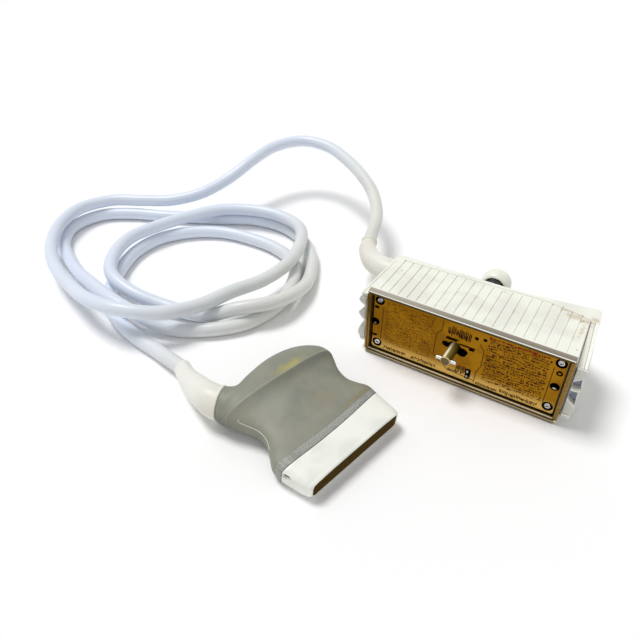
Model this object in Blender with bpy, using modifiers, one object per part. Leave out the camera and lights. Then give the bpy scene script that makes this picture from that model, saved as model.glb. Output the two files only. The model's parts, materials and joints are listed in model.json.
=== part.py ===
"""Ultrasound transducer probe: linear-array head, cable and zero-force connector.

Frame in metres: X runs along the connector, -Y is its mating direction, Z is up.
The origin is on the middle of the connector's lower face, on the surface it lies on.
"""
import math

import bmesh
import bpy
from mathutils import Euler, Matrix, Vector

# Connector
SHELL_LENGTH = 0.120
SHELL_HEIGHT = 0.047
SHELL_FRONT = -0.024
LIP_DEPTH = 0.0032
LIP_WALL = 0.0024
NECK_WALL = 0.0008
NECK_DEPTH = 0.0068
BOARD_RECESS = 0.004
BOARD_THICKNESS = 0.0016
BOARD_MARGIN = 0.001
HOUSING_HEIGHT = 0.048
HOUSING_OVERHANG = 0.0054
HOOD_HEIGHT = 0.0014
LEDGE_DEPTH = 0.0058
HOUSING_SKIN = 0.0022
RIB_COUNT = 20
RIB_GROOVE_WIDTH = 0.0007
RIB_GROOVE_DEPTH = 0.0006
GRIP_DEPTH = 0.0058
BACK_COVER_DEPTH = 0.0172
BACK_COVER_WALL = 0.0022

# Lock
LOCK_X = -0.0043
LOCK_Z = 0.0255
SHAFT_RADIUS = 0.003
SHAFT_REACH = 0.0105
PIN_RADIUS = 0.0012
PIN_LENGTH = 0.0122
KNOB_RADIUS = 0.0098
KNOB_DEPTH = 0.013
RUNNING_CLEARANCE = 0.0001

# Probe head, as it lies on the surface beside the connector
HEAD_PLACE = (-0.0219, -0.1031, 0.0066)
HEAD_YAW = math.radians(-12.54)
HEAD_PITCH = math.radians(5.4)
NOSE_WIDTH = 0.069
NOSE_THICKNESS = 0.0125
NOSE_WALL = 0.0014
LENS_MARGIN = 0.0025
LENS_HEIGHT = 0.009
HANDLE_WALL = 0.0019

# Cable
CABLE_DIAMETER = 0.0094
CABLE_POINTS = 80

# Gap between pieces that touch
GAP = 0.0003

MID = HOUSING_HEIGHT / 2
WING = SHELL_LENGTH / 2 + HOUSING_OVERHANG
HOUSING_FRONT = SHELL_FRONT + LIP_DEPTH + GAP
PLATE_FRONT = SHELL_FRONT + BOARD_RECESS

# Places that the cable passes, in millimetres, from the connector to the head
CABLE_ROUTE = [
    (-101.0, 59.9, 24.9), (-109, 86, 30.5), (-124, 108, 36), (-143, 124, 40.5), (-165, 138, 43.5),
    (-189, 148, 46), (-215, 147, 46), (-232, 129, 43.5), (-238, 104, 39), (-246, 81, 30),
    (-262, 62, 20), (-282, 46, 15), (-304, 33, 14.5), (-326, 20, 14.5), (-337, -4, 15),
    (-331, -29, 15), (-316, -50, 15), (-296, -67, 15), (-273, -79, 15.5), (-248, -88, 17.5),
    (-224, -95, 22), (-198, -95, 25), (-176, -82, 22), (-163, -60, 18.5), (-154, -36, 18.5),
    (-147, -10, 15), (-144, 16, 15), (-150, 41, 15), (-164, 63, 15), (-188, 71, 15),
    (-214, 67, 15), (-236, 54, 15), (-251, 33, 14.5), (-262, 9, 14.5), (-268, -16, 14.5),
    (-260, -41, 14.5), (-242, -60, 15), (-217, -65, 11.5), (-192, -60, 6.5), (-166, -54, 5.5),
    (-143, -44, 14), (-126, -26, 14.5), (-123, -0, 9.5), (-130, 24, 5), (-144, 47, 5),
    (-164, 64, 5), (-188, 72, 5), (-214, 69, 5), (-237, 57, 5), (-261, 45, 5),
    (-284, 34, 5), (-308, 24, 5), (-329, 8, 5), (-334, -17, 5), (-321, -38, 5),
    (-299, -52, 5), (-275, -63, 6.5), (-251, -72, 11.5), (-226, -80, 15), (-200, -82, 13),
    (-176, -76, 5.5), (-153, -63, 5), (-136, -44, 5), (-130, -19, 5), (-135, 7, 5),
    (-148, 30, 5), (-171, 41, 5), (-197, 43, 5), (-223, 39, 5), (-245, 26, 5),
    (-260, 5, 5), (-262, -20, 5), (-253, -45, 5), (-239, -67, 5), (-219, -83, 5),
    (-194, -92, 5), (-168, -96, 5), (-143, -101, 7),
]


for old in list(bpy.data.objects):
    bpy.data.objects.remove(old, do_unlink=True)


def collection(name):
    """Make a collection under the scene's own."""
    made = bpy.data.collections.new(name)
    bpy.context.scene.collection.children.link(made)
    return made


PARTS = collection("ultrasound_transducer_probe")
CUTTERS = collection("cutters")


def material(name, colour, roughness, metallic=0.0):
    """A plain Principled material."""
    made = bpy.data.materials.new(name)
    made.use_nodes = True
    shader = made.node_tree.nodes["Principled BSDF"]
    shader.inputs["Base Color"].default_value = (*colour, 1.0)
    shader.inputs["Roughness"].default_value = roughness
    shader.inputs["Metallic"].default_value = metallic
    return made


WHITE = material("white_abs", (0.83, 0.84, 0.76), 0.42)
NOSE_WHITE = material("white_nose", (0.88, 0.88, 0.84), 0.35)
RUBBER_WHITE = material("white_elastomer", (0.80, 0.80, 0.74), 0.5)
CABLE_WHITE = material("cable_jacket", (0.72, 0.76, 0.80), 0.45)
GOLD = material("gold_shell", (0.34, 0.22, 0.06), 0.3, 1.0)
BOARD_GOLD = material("board_laminate", (0.40, 0.20, 0.02), 0.35, 0.6)
BLACK = material("black_plastic", (0.02, 0.02, 0.02), 0.5)
STEEL = material("bright_steel", (0.70, 0.70, 0.70), 0.22, 1.0)
BRASS = material("brass", (0.42, 0.28, 0.10), 0.3, 1.0)
ALUMINIUM = material("aluminium", (0.60, 0.60, 0.62), 0.35, 1.0)
LAMINATE = material("green_laminate", (0.02, 0.14, 0.05), 0.5)
GREY = material("grey_grip", (0.25, 0.26, 0.22), 0.55)
LENS = material("lens_silicone", (0.09, 0.05, 0.012), 0.4)
CERAMIC = material("piezo_ceramic", (0.45, 0.38, 0.22), 0.6)
EPOXY = material("backing_epoxy", (0.05, 0.05, 0.06), 0.7)
POLYIMIDE = material("polyimide", (0.55, 0.25, 0.03), 0.4)
COPPER = material("wire_bundle", (0.45, 0.20, 0.10), 0.5, 0.4)


def link(made, surface, parent=None, cutter=False):
    """Put a new object in its collection with its material."""
    if cutter:
        CUTTERS.objects.link(made)
        made.hide_render = True
        made.display_type = "WIRE"
    else:
        PARTS.objects.link(made)
        made.data.materials.append(surface)
    made.parent = parent
    return made


def finish(name, bm, surface, parent=None, cutter=False, smooth=None):
    """Turn a bmesh into an object."""
    bmesh.ops.recalc_face_normals(bm, faces=bm.faces)
    mesh = bpy.data.meshes.new(name)
    bm.to_mesh(mesh)
    bm.free()
    if smooth is not None:
        mesh.shade_smooth()
        mesh.set_sharp_from_angle(angle=math.radians(smooth))
    return link(bpy.data.objects.new(name, mesh), surface, parent, cutter)


def add_box(bm, low, high):
    """Add a box between two corners."""
    centre = [(a + b) / 2 for a, b in zip(low, high)]
    size = [b - a for a, b in zip(low, high)]
    place = Matrix.Translation(centre) @ Matrix.Diagonal((*size, 1.0))
    bmesh.ops.create_cube(bm, size=1.0, matrix=place)


def box(name, low, high, surface=None, parent=None, cutter=False, bevel=0.0):
    """A box between two corners, with optional rounded edges."""
    bm = bmesh.new()
    add_box(bm, low, high)
    made = finish(name, bm, surface, parent, cutter)
    if bevel:
        rounding = made.modifiers.new("edges", "BEVEL")
        rounding.width = bevel
        rounding.segments = 1
    return made


def add_rod(bm, centre, axis, radius, length, sides):
    """Add a cylinder along an axis."""
    turn = Vector((0, 0, 1)).rotation_difference(Vector(axis)).to_matrix().to_4x4()
    bmesh.ops.create_cone(bm, cap_ends=True, segments=sides, radius1=radius, radius2=radius,
                          depth=length, matrix=Matrix.Translation(centre) @ turn)


def rod(name, centre, axis, radius, length, surface=None, parent=None, cutter=False, sides=24):
    """A cylinder along an axis."""
    bm = bmesh.new()
    add_rod(bm, centre, axis, radius, length, sides)
    return finish(name, bm, surface, parent, cutter, smooth=40)


def holes(name, places, radius, low, high, sides=16):
    """One cutter for several holes along Y, at (x, z) places."""
    bm = bmesh.new()
    for x, z in places:
        add_rod(bm, (x, (low + high) / 2, z), (0, 1, 0), radius, high - low, sides)
    return finish(name, bm, None, None, True)


def rounded_rectangle(half_width, half_height, radius, steps=4):
    """Outline points of a rounded rectangle, counter-clockwise."""
    points = []
    for quarter, (sx, sy) in enumerate(((1, 1), (-1, 1), (-1, -1), (1, -1))):
        cx = sx * (half_width - radius)
        cy = sy * (half_height - radius)
        for step in range(steps + 1):
            angle = math.pi / 2 * (quarter + step / steps)
            points.append((cx + radius * math.cos(angle), cy + radius * math.sin(angle)))
    return points


def prism(name, outline, direction, low, high, surface=None, parent=None, cutter=False):
    """An outline extruded along Y or Z. The outline holds (x, z) or (x, y) points."""
    bm = bmesh.new()
    if direction == "Y":
        corners = [bm.verts.new((x, low, z)) for x, z in outline]
        way = Vector((0, high - low, 0))
    else:
        corners = [bm.verts.new((x, y, low)) for x, y in outline]
        way = Vector((0, 0, high - low))
    face = bm.faces.new(corners)
    grown = bmesh.ops.extrude_face_region(bm, geom=[face])
    moved = [item for item in grown["geom"] if isinstance(item, bmesh.types.BMVert)]
    bmesh.ops.translate(bm, verts=moved, vec=way)
    return finish(name, bm, surface, parent, cutter)


def loft(name, rings, surface=None, parent=None, closed=False, cutter=False, smooth=None, caps=True):
    """Skin a row of rings with the same point count. A closed row makes a hollow frame."""
    bm = bmesh.new()
    rows = [[bm.verts.new(point) for point in ring] for ring in rings]
    pairs = list(zip(rows, rows[1:]))
    if closed:
        pairs.append((rows[-1], rows[0]))
    count = len(rows[0])
    for first, second in pairs:
        for i in range(count):
            k = (i + 1) % count
            bm.faces.new((first[i], first[k], second[k], second[i]))
    if caps and not closed:
        bm.faces.new(rows[0])
        bm.faces.new(rows[-1])
    return finish(name, bm, surface, parent, cutter, smooth)


def turned(name, profile, surface, place=(0, 0, 0), steps=32, ring=False):
    """A turned piece about the line through place along Y. The profile holds (radius, y)."""
    bm = bmesh.new()
    points = [bm.verts.new((radius, 0.0, along)) for radius, along in profile]
    for first, second in zip(points, points[1:]):
        bm.edges.new((first, second))
    if ring:
        bm.edges.new((points[-1], points[0]))
    mesh = bpy.data.meshes.new(name)
    bm.to_mesh(mesh)
    bm.free()
    made = link(bpy.data.objects.new(name, mesh), surface)
    made.location = place
    made.rotation_euler = (-math.pi / 2, 0, 0)
    screw = made.modifiers.new("turn", "SCREW")
    screw.steps = steps
    screw.render_steps = steps
    screw.use_merge_vertices = True
    screw.merge_threshold = 0.00001
    screw.use_smooth_shade = True
    return made


def cut(target, cutter, operation="DIFFERENCE"):
    """Cut one object with another, or join it."""
    change = target.modifiers.new(cutter.name, "BOOLEAN")
    change.operation = operation
    change.solver = "EXACT"
    change.object = cutter
    return target


def smooth_curve(points, steps=10):
    """Points on a smooth curve through the given points."""
    places = [Vector(point) for point in points]
    ends = [2 * places[0] - places[1], *places, 2 * places[-1] - places[-2]]
    curve = []
    for i in range(1, len(ends) - 2):
        a, b, c, d = ends[i - 1:i + 3]
        for step in range(steps):
            t = step / steps
            curve.append(0.5 * (2 * b + (c - a) * t + (2 * a - 5 * b + 4 * c - d) * t * t
                                + (3 * b - a - 3 * c + d) * t ** 3))
    curve.append(places[-1])
    return curve


def even_points(curve, count):
    """The given number of points, evenly spaced along a curve."""
    lengths = [0.0]
    for first, second in zip(curve, curve[1:]):
        lengths.append(lengths[-1] + (second - first).length)
    result = []
    k = 0
    for i in range(count):
        wanted = lengths[-1] * i / (count - 1)
        while k < len(lengths) - 2 and lengths[k + 1] < wanted:
            k += 1
        span = lengths[k + 1] - lengths[k]
        result.append(curve[k].lerp(curve[k + 1], (wanted - lengths[k]) / span))
    return result


def tube(name, points, radii, surface, parent=None, resolution=2):
    """A round tube along points, with a radius for each point."""
    data = bpy.data.curves.new(name, "CURVE")
    data.dimensions = "3D"
    data.bevel_depth = 1.0
    data.bevel_resolution = resolution
    data.use_fill_caps = True
    spline = data.splines.new("POLY")
    spline.points.add(len(points) - 1)
    for knot, point, radius in zip(spline.points, points, radii):
        knot.co = (*point, 1.0)
        knot.radius = radius
    return link(bpy.data.objects.new(name, data), surface, parent)


# Contact shell: a thick stepped lip and a thin neck behind it
def shell_ring(grow, y):
    """A ring of the contact shell, grown or shrunk from its outer size."""
    top = SHELL_HEIGHT / 2 + min(grow, 0.3 * grow - HOOD_HEIGHT)
    bottom = -SHELL_HEIGHT / 2 - grow
    corners = rounded_rectangle(SHELL_LENGTH / 2 + grow, (top - bottom) / 2, max(0.0022 + grow, 0.0008))
    return [(x, y, z + MID + (top + bottom) / 2) for x, z in corners]


LIP_BACK = SHELL_FRONT + LIP_DEPTH
NECK_BACK = LIP_BACK + NECK_DEPTH
contact_shell = loft("contact_shell", [
    shell_ring(-0.0005, SHELL_FRONT),
    shell_ring(0.0, SHELL_FRONT + 0.0005),
    shell_ring(0.0, SHELL_FRONT + 0.0014),
    shell_ring(-0.0007, SHELL_FRONT + 0.0017),
    shell_ring(-0.0007, SHELL_FRONT + 0.0021),
    shell_ring(0.0, SHELL_FRONT + 0.0024),
    shell_ring(0.0, LIP_BACK),
    shell_ring(-LIP_WALL + NECK_WALL, LIP_BACK),
    shell_ring(-LIP_WALL + NECK_WALL, NECK_BACK),
    shell_ring(-LIP_WALL, NECK_BACK),
    shell_ring(-LIP_WALL, SHELL_FRONT + 0.0012),
    shell_ring(-0.0014, SHELL_FRONT + 0.0010),
    shell_ring(-0.0014, SHELL_FRONT),
], GOLD, closed=True, smooth=30)

# Contact board with its openings
BOARD_HALF_X = SHELL_LENGTH / 2 - LIP_WALL - BOARD_MARGIN
BOARD_HALF_Z = SHELL_HEIGHT / 2 - LIP_WALL - BOARD_MARGIN / 1.6
PLATE_BACK = PLATE_FRONT + BOARD_THICKNESS
SCREW_X = BOARD_HALF_X - 0.0036
SCREW_Z = BOARD_HALF_Z - 0.0044
GUIDE_X = BOARD_HALF_X - 0.0026
SCREWS = [(-SCREW_X, MID + SCREW_Z), (SCREW_X, MID + SCREW_Z),
          (-SCREW_X, MID - SCREW_Z), (SCREW_X, MID - SCREW_Z)]
GUIDES = [(-GUIDE_X, MID), (GUIDE_X, MID)]

contact_board = prism("contact_board", [
    (x, z + MID) for x, z in rounded_rectangle(BOARD_HALF_X, BOARD_HALF_Z, 0.0012, 2)
], "Y", PLATE_FRONT, PLATE_BACK, BOARD_GOLD)
through = (PLATE_FRONT - 0.002, PLATE_BACK + 0.002)
cut(contact_board, holes("cut_screw_wells", SCREWS, 0.0029, *through))
cut(contact_board, holes("cut_guide_holes", GUIDES, 0.0018, *through))
small_places = [(-GUIDE_X, MID + 0.0110), (-GUIDE_X, MID - 0.0106),
                (LOCK_X + 0.0112, MID + 0.0132), (LOCK_X + 0.0160, MID + 0.0140),
                (SCREW_X + 0.0006, MID + 0.0102)]
cut(contact_board, holes("cut_small_holes", small_places, 0.0008, *through, sides=10))
cut(contact_board, holes("cut_shaft_hole", [(LOCK_X, LOCK_Z)], SHAFT_RADIUS + 0.0009, *through))
slot_ends = [(LOCK_X - 0.0058, LOCK_Z + 0.0003), (LOCK_X + 0.0064, LOCK_Z - 0.0012)]
cut(contact_board, holes("cut_lobes", slot_ends, 0.0019, *through))
cut(contact_board, box("cut_bow", (LOCK_X - 0.0058, through[0], LOCK_Z - 0.0014),
                       (LOCK_X + 0.0064, through[1], LOCK_Z + 0.0012), cutter=True))
slots = bmesh.new()
add_box(slots, (LOCK_X - 0.0054, through[0], LOCK_Z + 0.0053),
        (LOCK_X + 0.0020, through[1], LOCK_Z + 0.0064))
add_box(slots, (LOCK_X + 0.0032, through[0], LOCK_Z + 0.0029),
        (LOCK_X + 0.0122, through[1], LOCK_Z + 0.0041))
add_box(slots, (LOCK_X + 0.0094, through[0], LOCK_Z - 0.0190),
        (LOCK_X + 0.0122, through[1], LOCK_Z - 0.0122))
cut(contact_board, finish("cut_slots", slots, None, None, True))


def frame_plate(name, margin, bar, low, high, surface, clear):
    """A frame behind the contact board, with holes for the screws and guide bushes."""
    half_x = SHELL_LENGTH / 2 - LIP_WALL - margin
    half_z = SHELL_HEIGHT / 2 - LIP_WALL - margin
    made = prism(name, [(x, z + MID) for x, z in rounded_rectangle(half_x, half_z, 0.001, 2)],
                 "Y", low, high, surface)
    cut(made, prism("cut_" + name, [
        (x, z + MID) for x, z in rounded_rectangle(half_x - bar, half_z - 0.0042, 0.001, 2)
    ], "Y", low - 0.001, high + 0.001, cutter=True))
    cut(made, holes("cut_screws_" + name, SCREWS, 0.0015, low - 0.001, high + 0.001, 12))
    cut(made, holes("cut_guides_" + name, GUIDES, clear, low - 0.001, high + 0.001, 16))
    return made


GASKET_BACK = PLATE_BACK + GAP + 0.0016
frame_plate("board_gasket", 0.0003, 0.0072, PLATE_BACK + GAP, GASKET_BACK, BLACK, 0.0026)
FRAME_BACK = GASKET_BACK + GAP + 0.0022
frame_plate("board_frame", 0.0003, 0.0072, GASKET_BACK + GAP, FRAME_BACK, BLACK, 0.0026)

for number, (x, z) in enumerate(SCREWS, 1):
    head = PLATE_FRONT + 0.0002
    turned("board_screw_%d" % number, [
        (0.0, FRAME_BACK - 0.0004), (0.0012, FRAME_BACK - 0.0004), (0.0012, head + 0.0013),
        (0.0020, head + 0.0013), (0.0020, head + 0.0003), (0.0017, head),
        (0.0009, head), (0.0009, head + 0.0008), (0.0, head + 0.0008),
    ], STEEL, (x, 0, z), steps=18)
for side, (x, z) in zip(("left", "right"), GUIDES):
    low = PLATE_BACK + GAP
    turned("guide_bush_" + side, [
        (0.0019, low), (0.0023, low), (0.0023, FRAME_BACK - 0.0003), (0.0019, FRAME_BACK - 0.0003),
    ][::-1], STEEL, (x, 0, z), steps=18, ring=True)

# Chassis plate, standoffs and the two termination boards
CHASSIS_FRONT = NECK_BACK + GAP
CHASSIS_BACK = CHASSIS_FRONT + 0.0016
CHASSIS_HALF_X = SHELL_LENGTH / 2 - 0.0056
CHASSIS_HALF_Z = MID - HOUSING_SKIN - 0.0012
chassis = box("chassis_plate", (-CHASSIS_HALF_X, CHASSIS_FRONT, MID - CHASSIS_HALF_Z),
              (CHASSIS_HALF_X, CHASSIS_BACK, MID + CHASSIS_HALF_Z), ALUMINIUM)
cut(chassis, holes("cut_chassis_bush", [(LOCK_X, LOCK_Z)], 0.0049,
                   CHASSIS_FRONT - 0.001, CHASSIS_BACK + 0.001, 24))
PORTS = [(-CHASSIS_HALF_X + 0.0044, LOCK_X - 0.0125), (LOCK_X + 0.0155, CHASSIS_HALF_X - 0.0064)]
ports = bmesh.new()
for low_x, high_x in PORTS:
    add_box(ports, (low_x, CHASSIS_FRONT - 0.001, MID - 0.007),
            (high_x, CHASSIS_BACK + 0.001, MID + 0.007))
cut(chassis, finish("cut_ports", ports, None, None, True))
TERMINAL_FRONT = CHASSIS_BACK + 0.008
for side, (low_x, high_x) in zip(("left", "right"), PORTS):
    box("board_socket_" + side, (low_x + 0.001, PLATE_BACK + GAP, MID - 0.006),
        (high_x - 0.001, TERMINAL_FRONT - GAP, MID + 0.006), BLACK, bevel=0.0004)
    box("termination_board_" + side, (low_x - 0.002, TERMINAL_FRONT, MID - 0.016),
        (high_x + 0.002, TERMINAL_FRONT + 0.0016, MID + 0.016), LAMINATE)
    for level, rise in (("lower", -0.013), ("upper", 0.013)):
        rod("standoff_%s_%s" % (side, level),
            ((low_x + high_x) / 2, (CHASSIS_BACK + TERMINAL_FRONT) / 2, MID + rise), (0, 1, 0),
            0.002, TERMINAL_FRONT - CHASSIS_BACK - 2 * GAP, STEEL, sides=6)


# Housing halves, with ribbed faces, side ledges and a hollow inside
def rear_edge(x):
    """The rear edge of the housing, which runs further back towards +X."""
    steps = [(-WING + 0.0055, 0.0206), (0.15 * WING, 0.0206), (0.36 * WING, 0.0212),
             (0.59 * WING, 0.0232), (WING - 0.0040, 0.0262)]
    for (x0, y0), (x1, y1) in zip(steps, steps[1:]):
        if x <= x1:
            share = max((x - x0) / (x1 - x0), 0.0)
            return y0 + share * (y1 - y0)
    return steps[-1][1]


FRONT_HALF = SHELL_LENGTH / 2 - 0.0006
PLAN = [(FRONT_HALF, HOUSING_FRONT), (WING - 0.0006, HOUSING_FRONT), (WING, HOUSING_FRONT + 0.0008),
        (WING - 0.0012, 0.0030), (WING - 0.0030, 0.0240), (WING - 0.0038, 0.0256),
        (WING - 0.0056, 0.0262)]
PLAN += [(share * WING, rear_edge(share * WING)) for share in (0.79, 0.59, 0.47, 0.36, 0.26, 0.15, -0.3)]
PLAN += [(-WING + 0.0090, 0.0206), (-WING + 0.0062, 0.0192), (-WING + 0.0050, 0.0165),
         (-WING, HOUSING_FRONT + 0.0008), (-WING + 0.0006, HOUSING_FRONT),
         (-FRONT_HALF, HOUSING_FRONT)]
HOOD = [(-FRONT_HALF, SHELL_FRONT), (FRONT_HALF, SHELL_FRONT)]
NECK_X = SHELL_LENGTH / 2 - LIP_WALL + NECK_WALL + GAP
NECK_Z = SHELL_HEIGHT / 2 - LIP_WALL + NECK_WALL + GAP
GRIP_X = WING + 0.0013 - GRIP_DEPTH
GRIP_Z = MID - 0.0078


def housing_half(name, up):
    """One moulded half of the housing; up is 1 for the upper half and -1 for the lower."""
    def level(z):
        """A height measured from the middle, turned over for the lower half."""
        return MID + up * z

    low, high = sorted((level(GAP / 2), level(MID)))
    half = prism(name, HOOD + PLAN if up > 0 else PLAN, "Z", low, high, WHITE)
    if up > 0:
        # A hood reaches over the contact shell and falls a little towards the front
        cut(half, box("cut_under_hood", (-WING, SHELL_FRONT - 0.002, 0.0),
                      (WING, HOUSING_FRONT, MID + SHELL_HEIGHT / 2 - HOOD_HEIGHT + GAP), cutter=True))
        near, far, high = SHELL_FRONT - 0.0004, HOUSING_FRONT - 0.0002, HOUSING_HEIGHT + 0.002
        cut(half, loft("cut_hood_slope", [
            [(x, far, HOUSING_HEIGHT), (x, near, HOUSING_HEIGHT - 0.0009), (x, near, high),
             (x, far, high)] for x in (-WING, WING)], cutter=True))
    low, high = sorted((level(-0.001), level(MID - HOUSING_SKIN)))
    cut(half, box("cut_room_" + name, (-NECK_X + 0.0018, NECK_BACK - 0.001, low),
                  (NECK_X - 0.0018, 0.030, high), cutter=True))
    low, high = sorted((level(-0.001), level(NECK_Z)))
    cut(half, box("cut_neck_" + name, (-NECK_X, HOUSING_FRONT - 0.002, low),
                  (NECK_X, NECK_BACK + GAP, high), cutter=True))
    low, high = sorted((level(-0.001), level(GRIP_Z + GAP)))
    for side in (-1, 1):
        inner, outer = sorted((side * (GRIP_X - GAP), side * (WING + 0.002)))
        cut(half, box("cut_grip_%s_%d" % (name, side), (inner, HOUSING_FRONT - 0.0010, low),
                      (outer, 0.0145, high), cutter=True))
        # The ledge beside the ribs falls towards the front and has a low outer rim
        top = level(MID + 0.002)
        rim = 0.0040 if side > 0 else 0.0060
        for part, near, back, far, end, start, drop in (
                ("slope", 0.0003, -0.0015, WING + 0.001, 0.0150, -0.0020, 0.0),
                ("floor", 0.0004, -0.0013, WING - 0.0011, 0.0130, 0.0009, 0.0005)):
            front = HOUSING_FRONT + start
            edge = far if part == "slope" else WING - rim
            fall = LEDGE_DEPTH * (0.0150 - front) / (0.0150 - HOUSING_FRONT) + drop
            rest = LEDGE_DEPTH * (0.0150 - end) / (0.0150 - HOUSING_FRONT) + drop
            floor = [(FRONT_HALF + near, front, fall), (far, front, fall), (edge, end, rest),
                     (FRONT_HALF + back, end, rest)]
            cut(half, loft("cut_%s_%s_%d" % (part, name, side), [
                [(side * x, y, level(MID - depth)) for x, y, depth in floor],
                [(side * x, y, top) for x, y, depth in floor]], cutter=True))
    # Ribs
    bm = bmesh.new()
    pitch = 2 * FRONT_HALF / (RIB_COUNT + 1)
    low, high = sorted((level(MID - RIB_GROOVE_DEPTH), level(MID + 0.001)))
    for i in range(RIB_COUNT):
        x = -FRONT_HALF + pitch * (i + 1)
        end = rear_edge(x) - (0.0042 if i < RIB_COUNT - 2 else 0.0085)
        add_box(bm, (x - RIB_GROOVE_WIDTH / 2, HOUSING_FRONT + 0.0012, low),
                (x + RIB_GROOVE_WIDTH / 2, end, high))
    cut(half, finish("cut_ribs_" + name, bm, None, None, True))
    return half


housing_half("housing_upper", 1)
housing_half("housing_lower", -1)


# Side grips with three rounded ridges each
def side_grip(name, side):
    """A ridged grip let into one end of the housing."""
    outline = [(GRIP_X, MID - GRIP_Z), (GRIP_X, MID + GRIP_Z)]
    ridges = ((0.0128, 0.0030), (0.0022, 0.0030), (-0.0122, 0.0040))
    steps = 25
    for i in range(steps):
        z = GRIP_Z - 0.0004 - (2 * GRIP_Z - 0.0008) * i / (steps - 1)
        reach = max(math.exp(-((z - ridge) / width) ** 2) for ridge, width in ridges)
        outline.append((GRIP_X + 0.0012 + (GRIP_DEPTH - 0.0012) * reach, MID + z))
    outline = [(side * x, z) for x, z in outline]
    return prism(name, outline, "Y", HOUSING_FRONT + 0.0002, 0.0142, WHITE)


side_grip("side_grip_left", -1)
side_grip("side_grip_right", 1)


# Back cover: a tapered cup behind the housing
def cover_ring(half_x, half_z, radius, y, follow):
    """A ring of the back cover; the first rings follow the housing's rear edge."""
    outline = []
    corners = rounded_rectangle(half_x, half_z, radius, 3)
    for here, there in zip(corners, corners[1:] + corners[:1]):
        outline.append(here)
        if abs(there[0] - here[0]) > half_x:
            for step in range(1, 14):
                share = step / 14
                outline.append((here[0] + share * (there[0] - here[0]), here[1]))
    return [(x, y + follow * (rear_edge(x) - rear_edge(0.0)), z + MID) for x, z in outline]


COVER_START = rear_edge(0.0) + GAP
COVER_END = COVER_START + BACK_COVER_DEPTH
back_cover = loft("back_cover", [
    cover_ring(WING - 0.0068, MID - 0.0006, 0.004, COVER_START, 1.0),
    cover_ring(WING - 0.0068, MID - 0.0006, 0.004, COVER_START + 0.0006, 1.0),
    cover_ring(WING - 0.0078, 0.81 * MID, 0.005, COVER_START + 0.0045, 0.9),
    cover_ring(WING - 0.0100, 0.57 * MID, 0.006, COVER_START + 0.0108, 0.5),
    cover_ring(WING - 0.0140, 0.42 * MID, 0.006, COVER_START + 0.0155, 0.1),
    cover_ring(WING - 0.0165, 0.37 * MID, 0.006, COVER_END, 0.0),
], WHITE, caps=False, smooth=50)
bm = bmesh.new()
bm.from_mesh(back_cover.data)
rim = [edge for edge in bm.edges if edge.is_boundary
       and all(vert.co.y > COVER_END - 0.0001 for vert in edge.verts)]
bmesh.ops.holes_fill(bm, edges=rim)
bmesh.ops.recalc_face_normals(bm, faces=bm.faces)
bm.to_mesh(back_cover.data)
bm.free()
wall = back_cover.modifiers.new("wall", "SOLIDIFY")
wall.thickness = BACK_COVER_WALL
wall.offset = -1.0
wall.use_even_offset = True
RELIEF_Y = COVER_START + 0.0113
RELIEF_Z = MID + 0.0007
RELIEF_RADIUS = 0.0086
BOSS_LOW, BOSS_HIGH = -WING + 0.0062, -WING + 0.0234
boss = rod("join_relief_boss", ((BOSS_LOW + BOSS_HIGH) / 2, RELIEF_Y, RELIEF_Z), (1, 0, 0),
           RELIEF_RADIUS + 0.0022, BOSS_HIGH - BOSS_LOW, cutter=True)
cut(back_cover, boss, "UNION")
cut(back_cover, rod("cut_relief", (BOSS_LOW, RELIEF_Y, RELIEF_Z), (1, 0, 0),
                    RELIEF_RADIUS + GAP, 2 * (BOSS_HIGH - BOSS_LOW - 0.0030), cutter=True))
cut(back_cover, rod("cut_bundle", (BOSS_HIGH, RELIEF_Y - 0.0006, RELIEF_Z), (1, 0, 0), 0.0040,
                    0.0080, cutter=True))
cut(back_cover, rod("cut_rear_bush", (LOCK_X, COVER_END, LOCK_Z), (0, 1, 0), 0.0049, 0.012,
                    cutter=True))

# Lock: bushes that stay, and the shaft, pin, collar, ring and knob that turn
bore = SHAFT_RADIUS + RUNNING_CLEARANCE
seat = SHAFT_RADIUS + GAP
turned("front_bush", [
    (bore, CHASSIS_FRONT - 0.0030), (0.0058, CHASSIS_FRONT - 0.0030),
    (0.0058, CHASSIS_FRONT - GAP), (0.0046, CHASSIS_FRONT - GAP), (0.0046, CHASSIS_BACK + 0.004),
    (bore, CHASSIS_BACK + 0.004),
][::-1], BRASS, (LOCK_X, 0, LOCK_Z), ring=True)
turned("rear_bush", [
    (bore, COVER_END - 0.0060), (0.0046, COVER_END - 0.0060), (0.0046, COVER_END + GAP),
    (0.0055, COVER_END + GAP), (0.0055, COVER_END + 0.0014), (bore, COVER_END + 0.0014),
][::-1], BLACK, (LOCK_X, 0, LOCK_Z), ring=True)

lock_axis = bpy.data.objects.new("lock_axis", None)
PARTS.objects.link(lock_axis)
lock_axis.location = (LOCK_X, 0, LOCK_Z)

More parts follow.
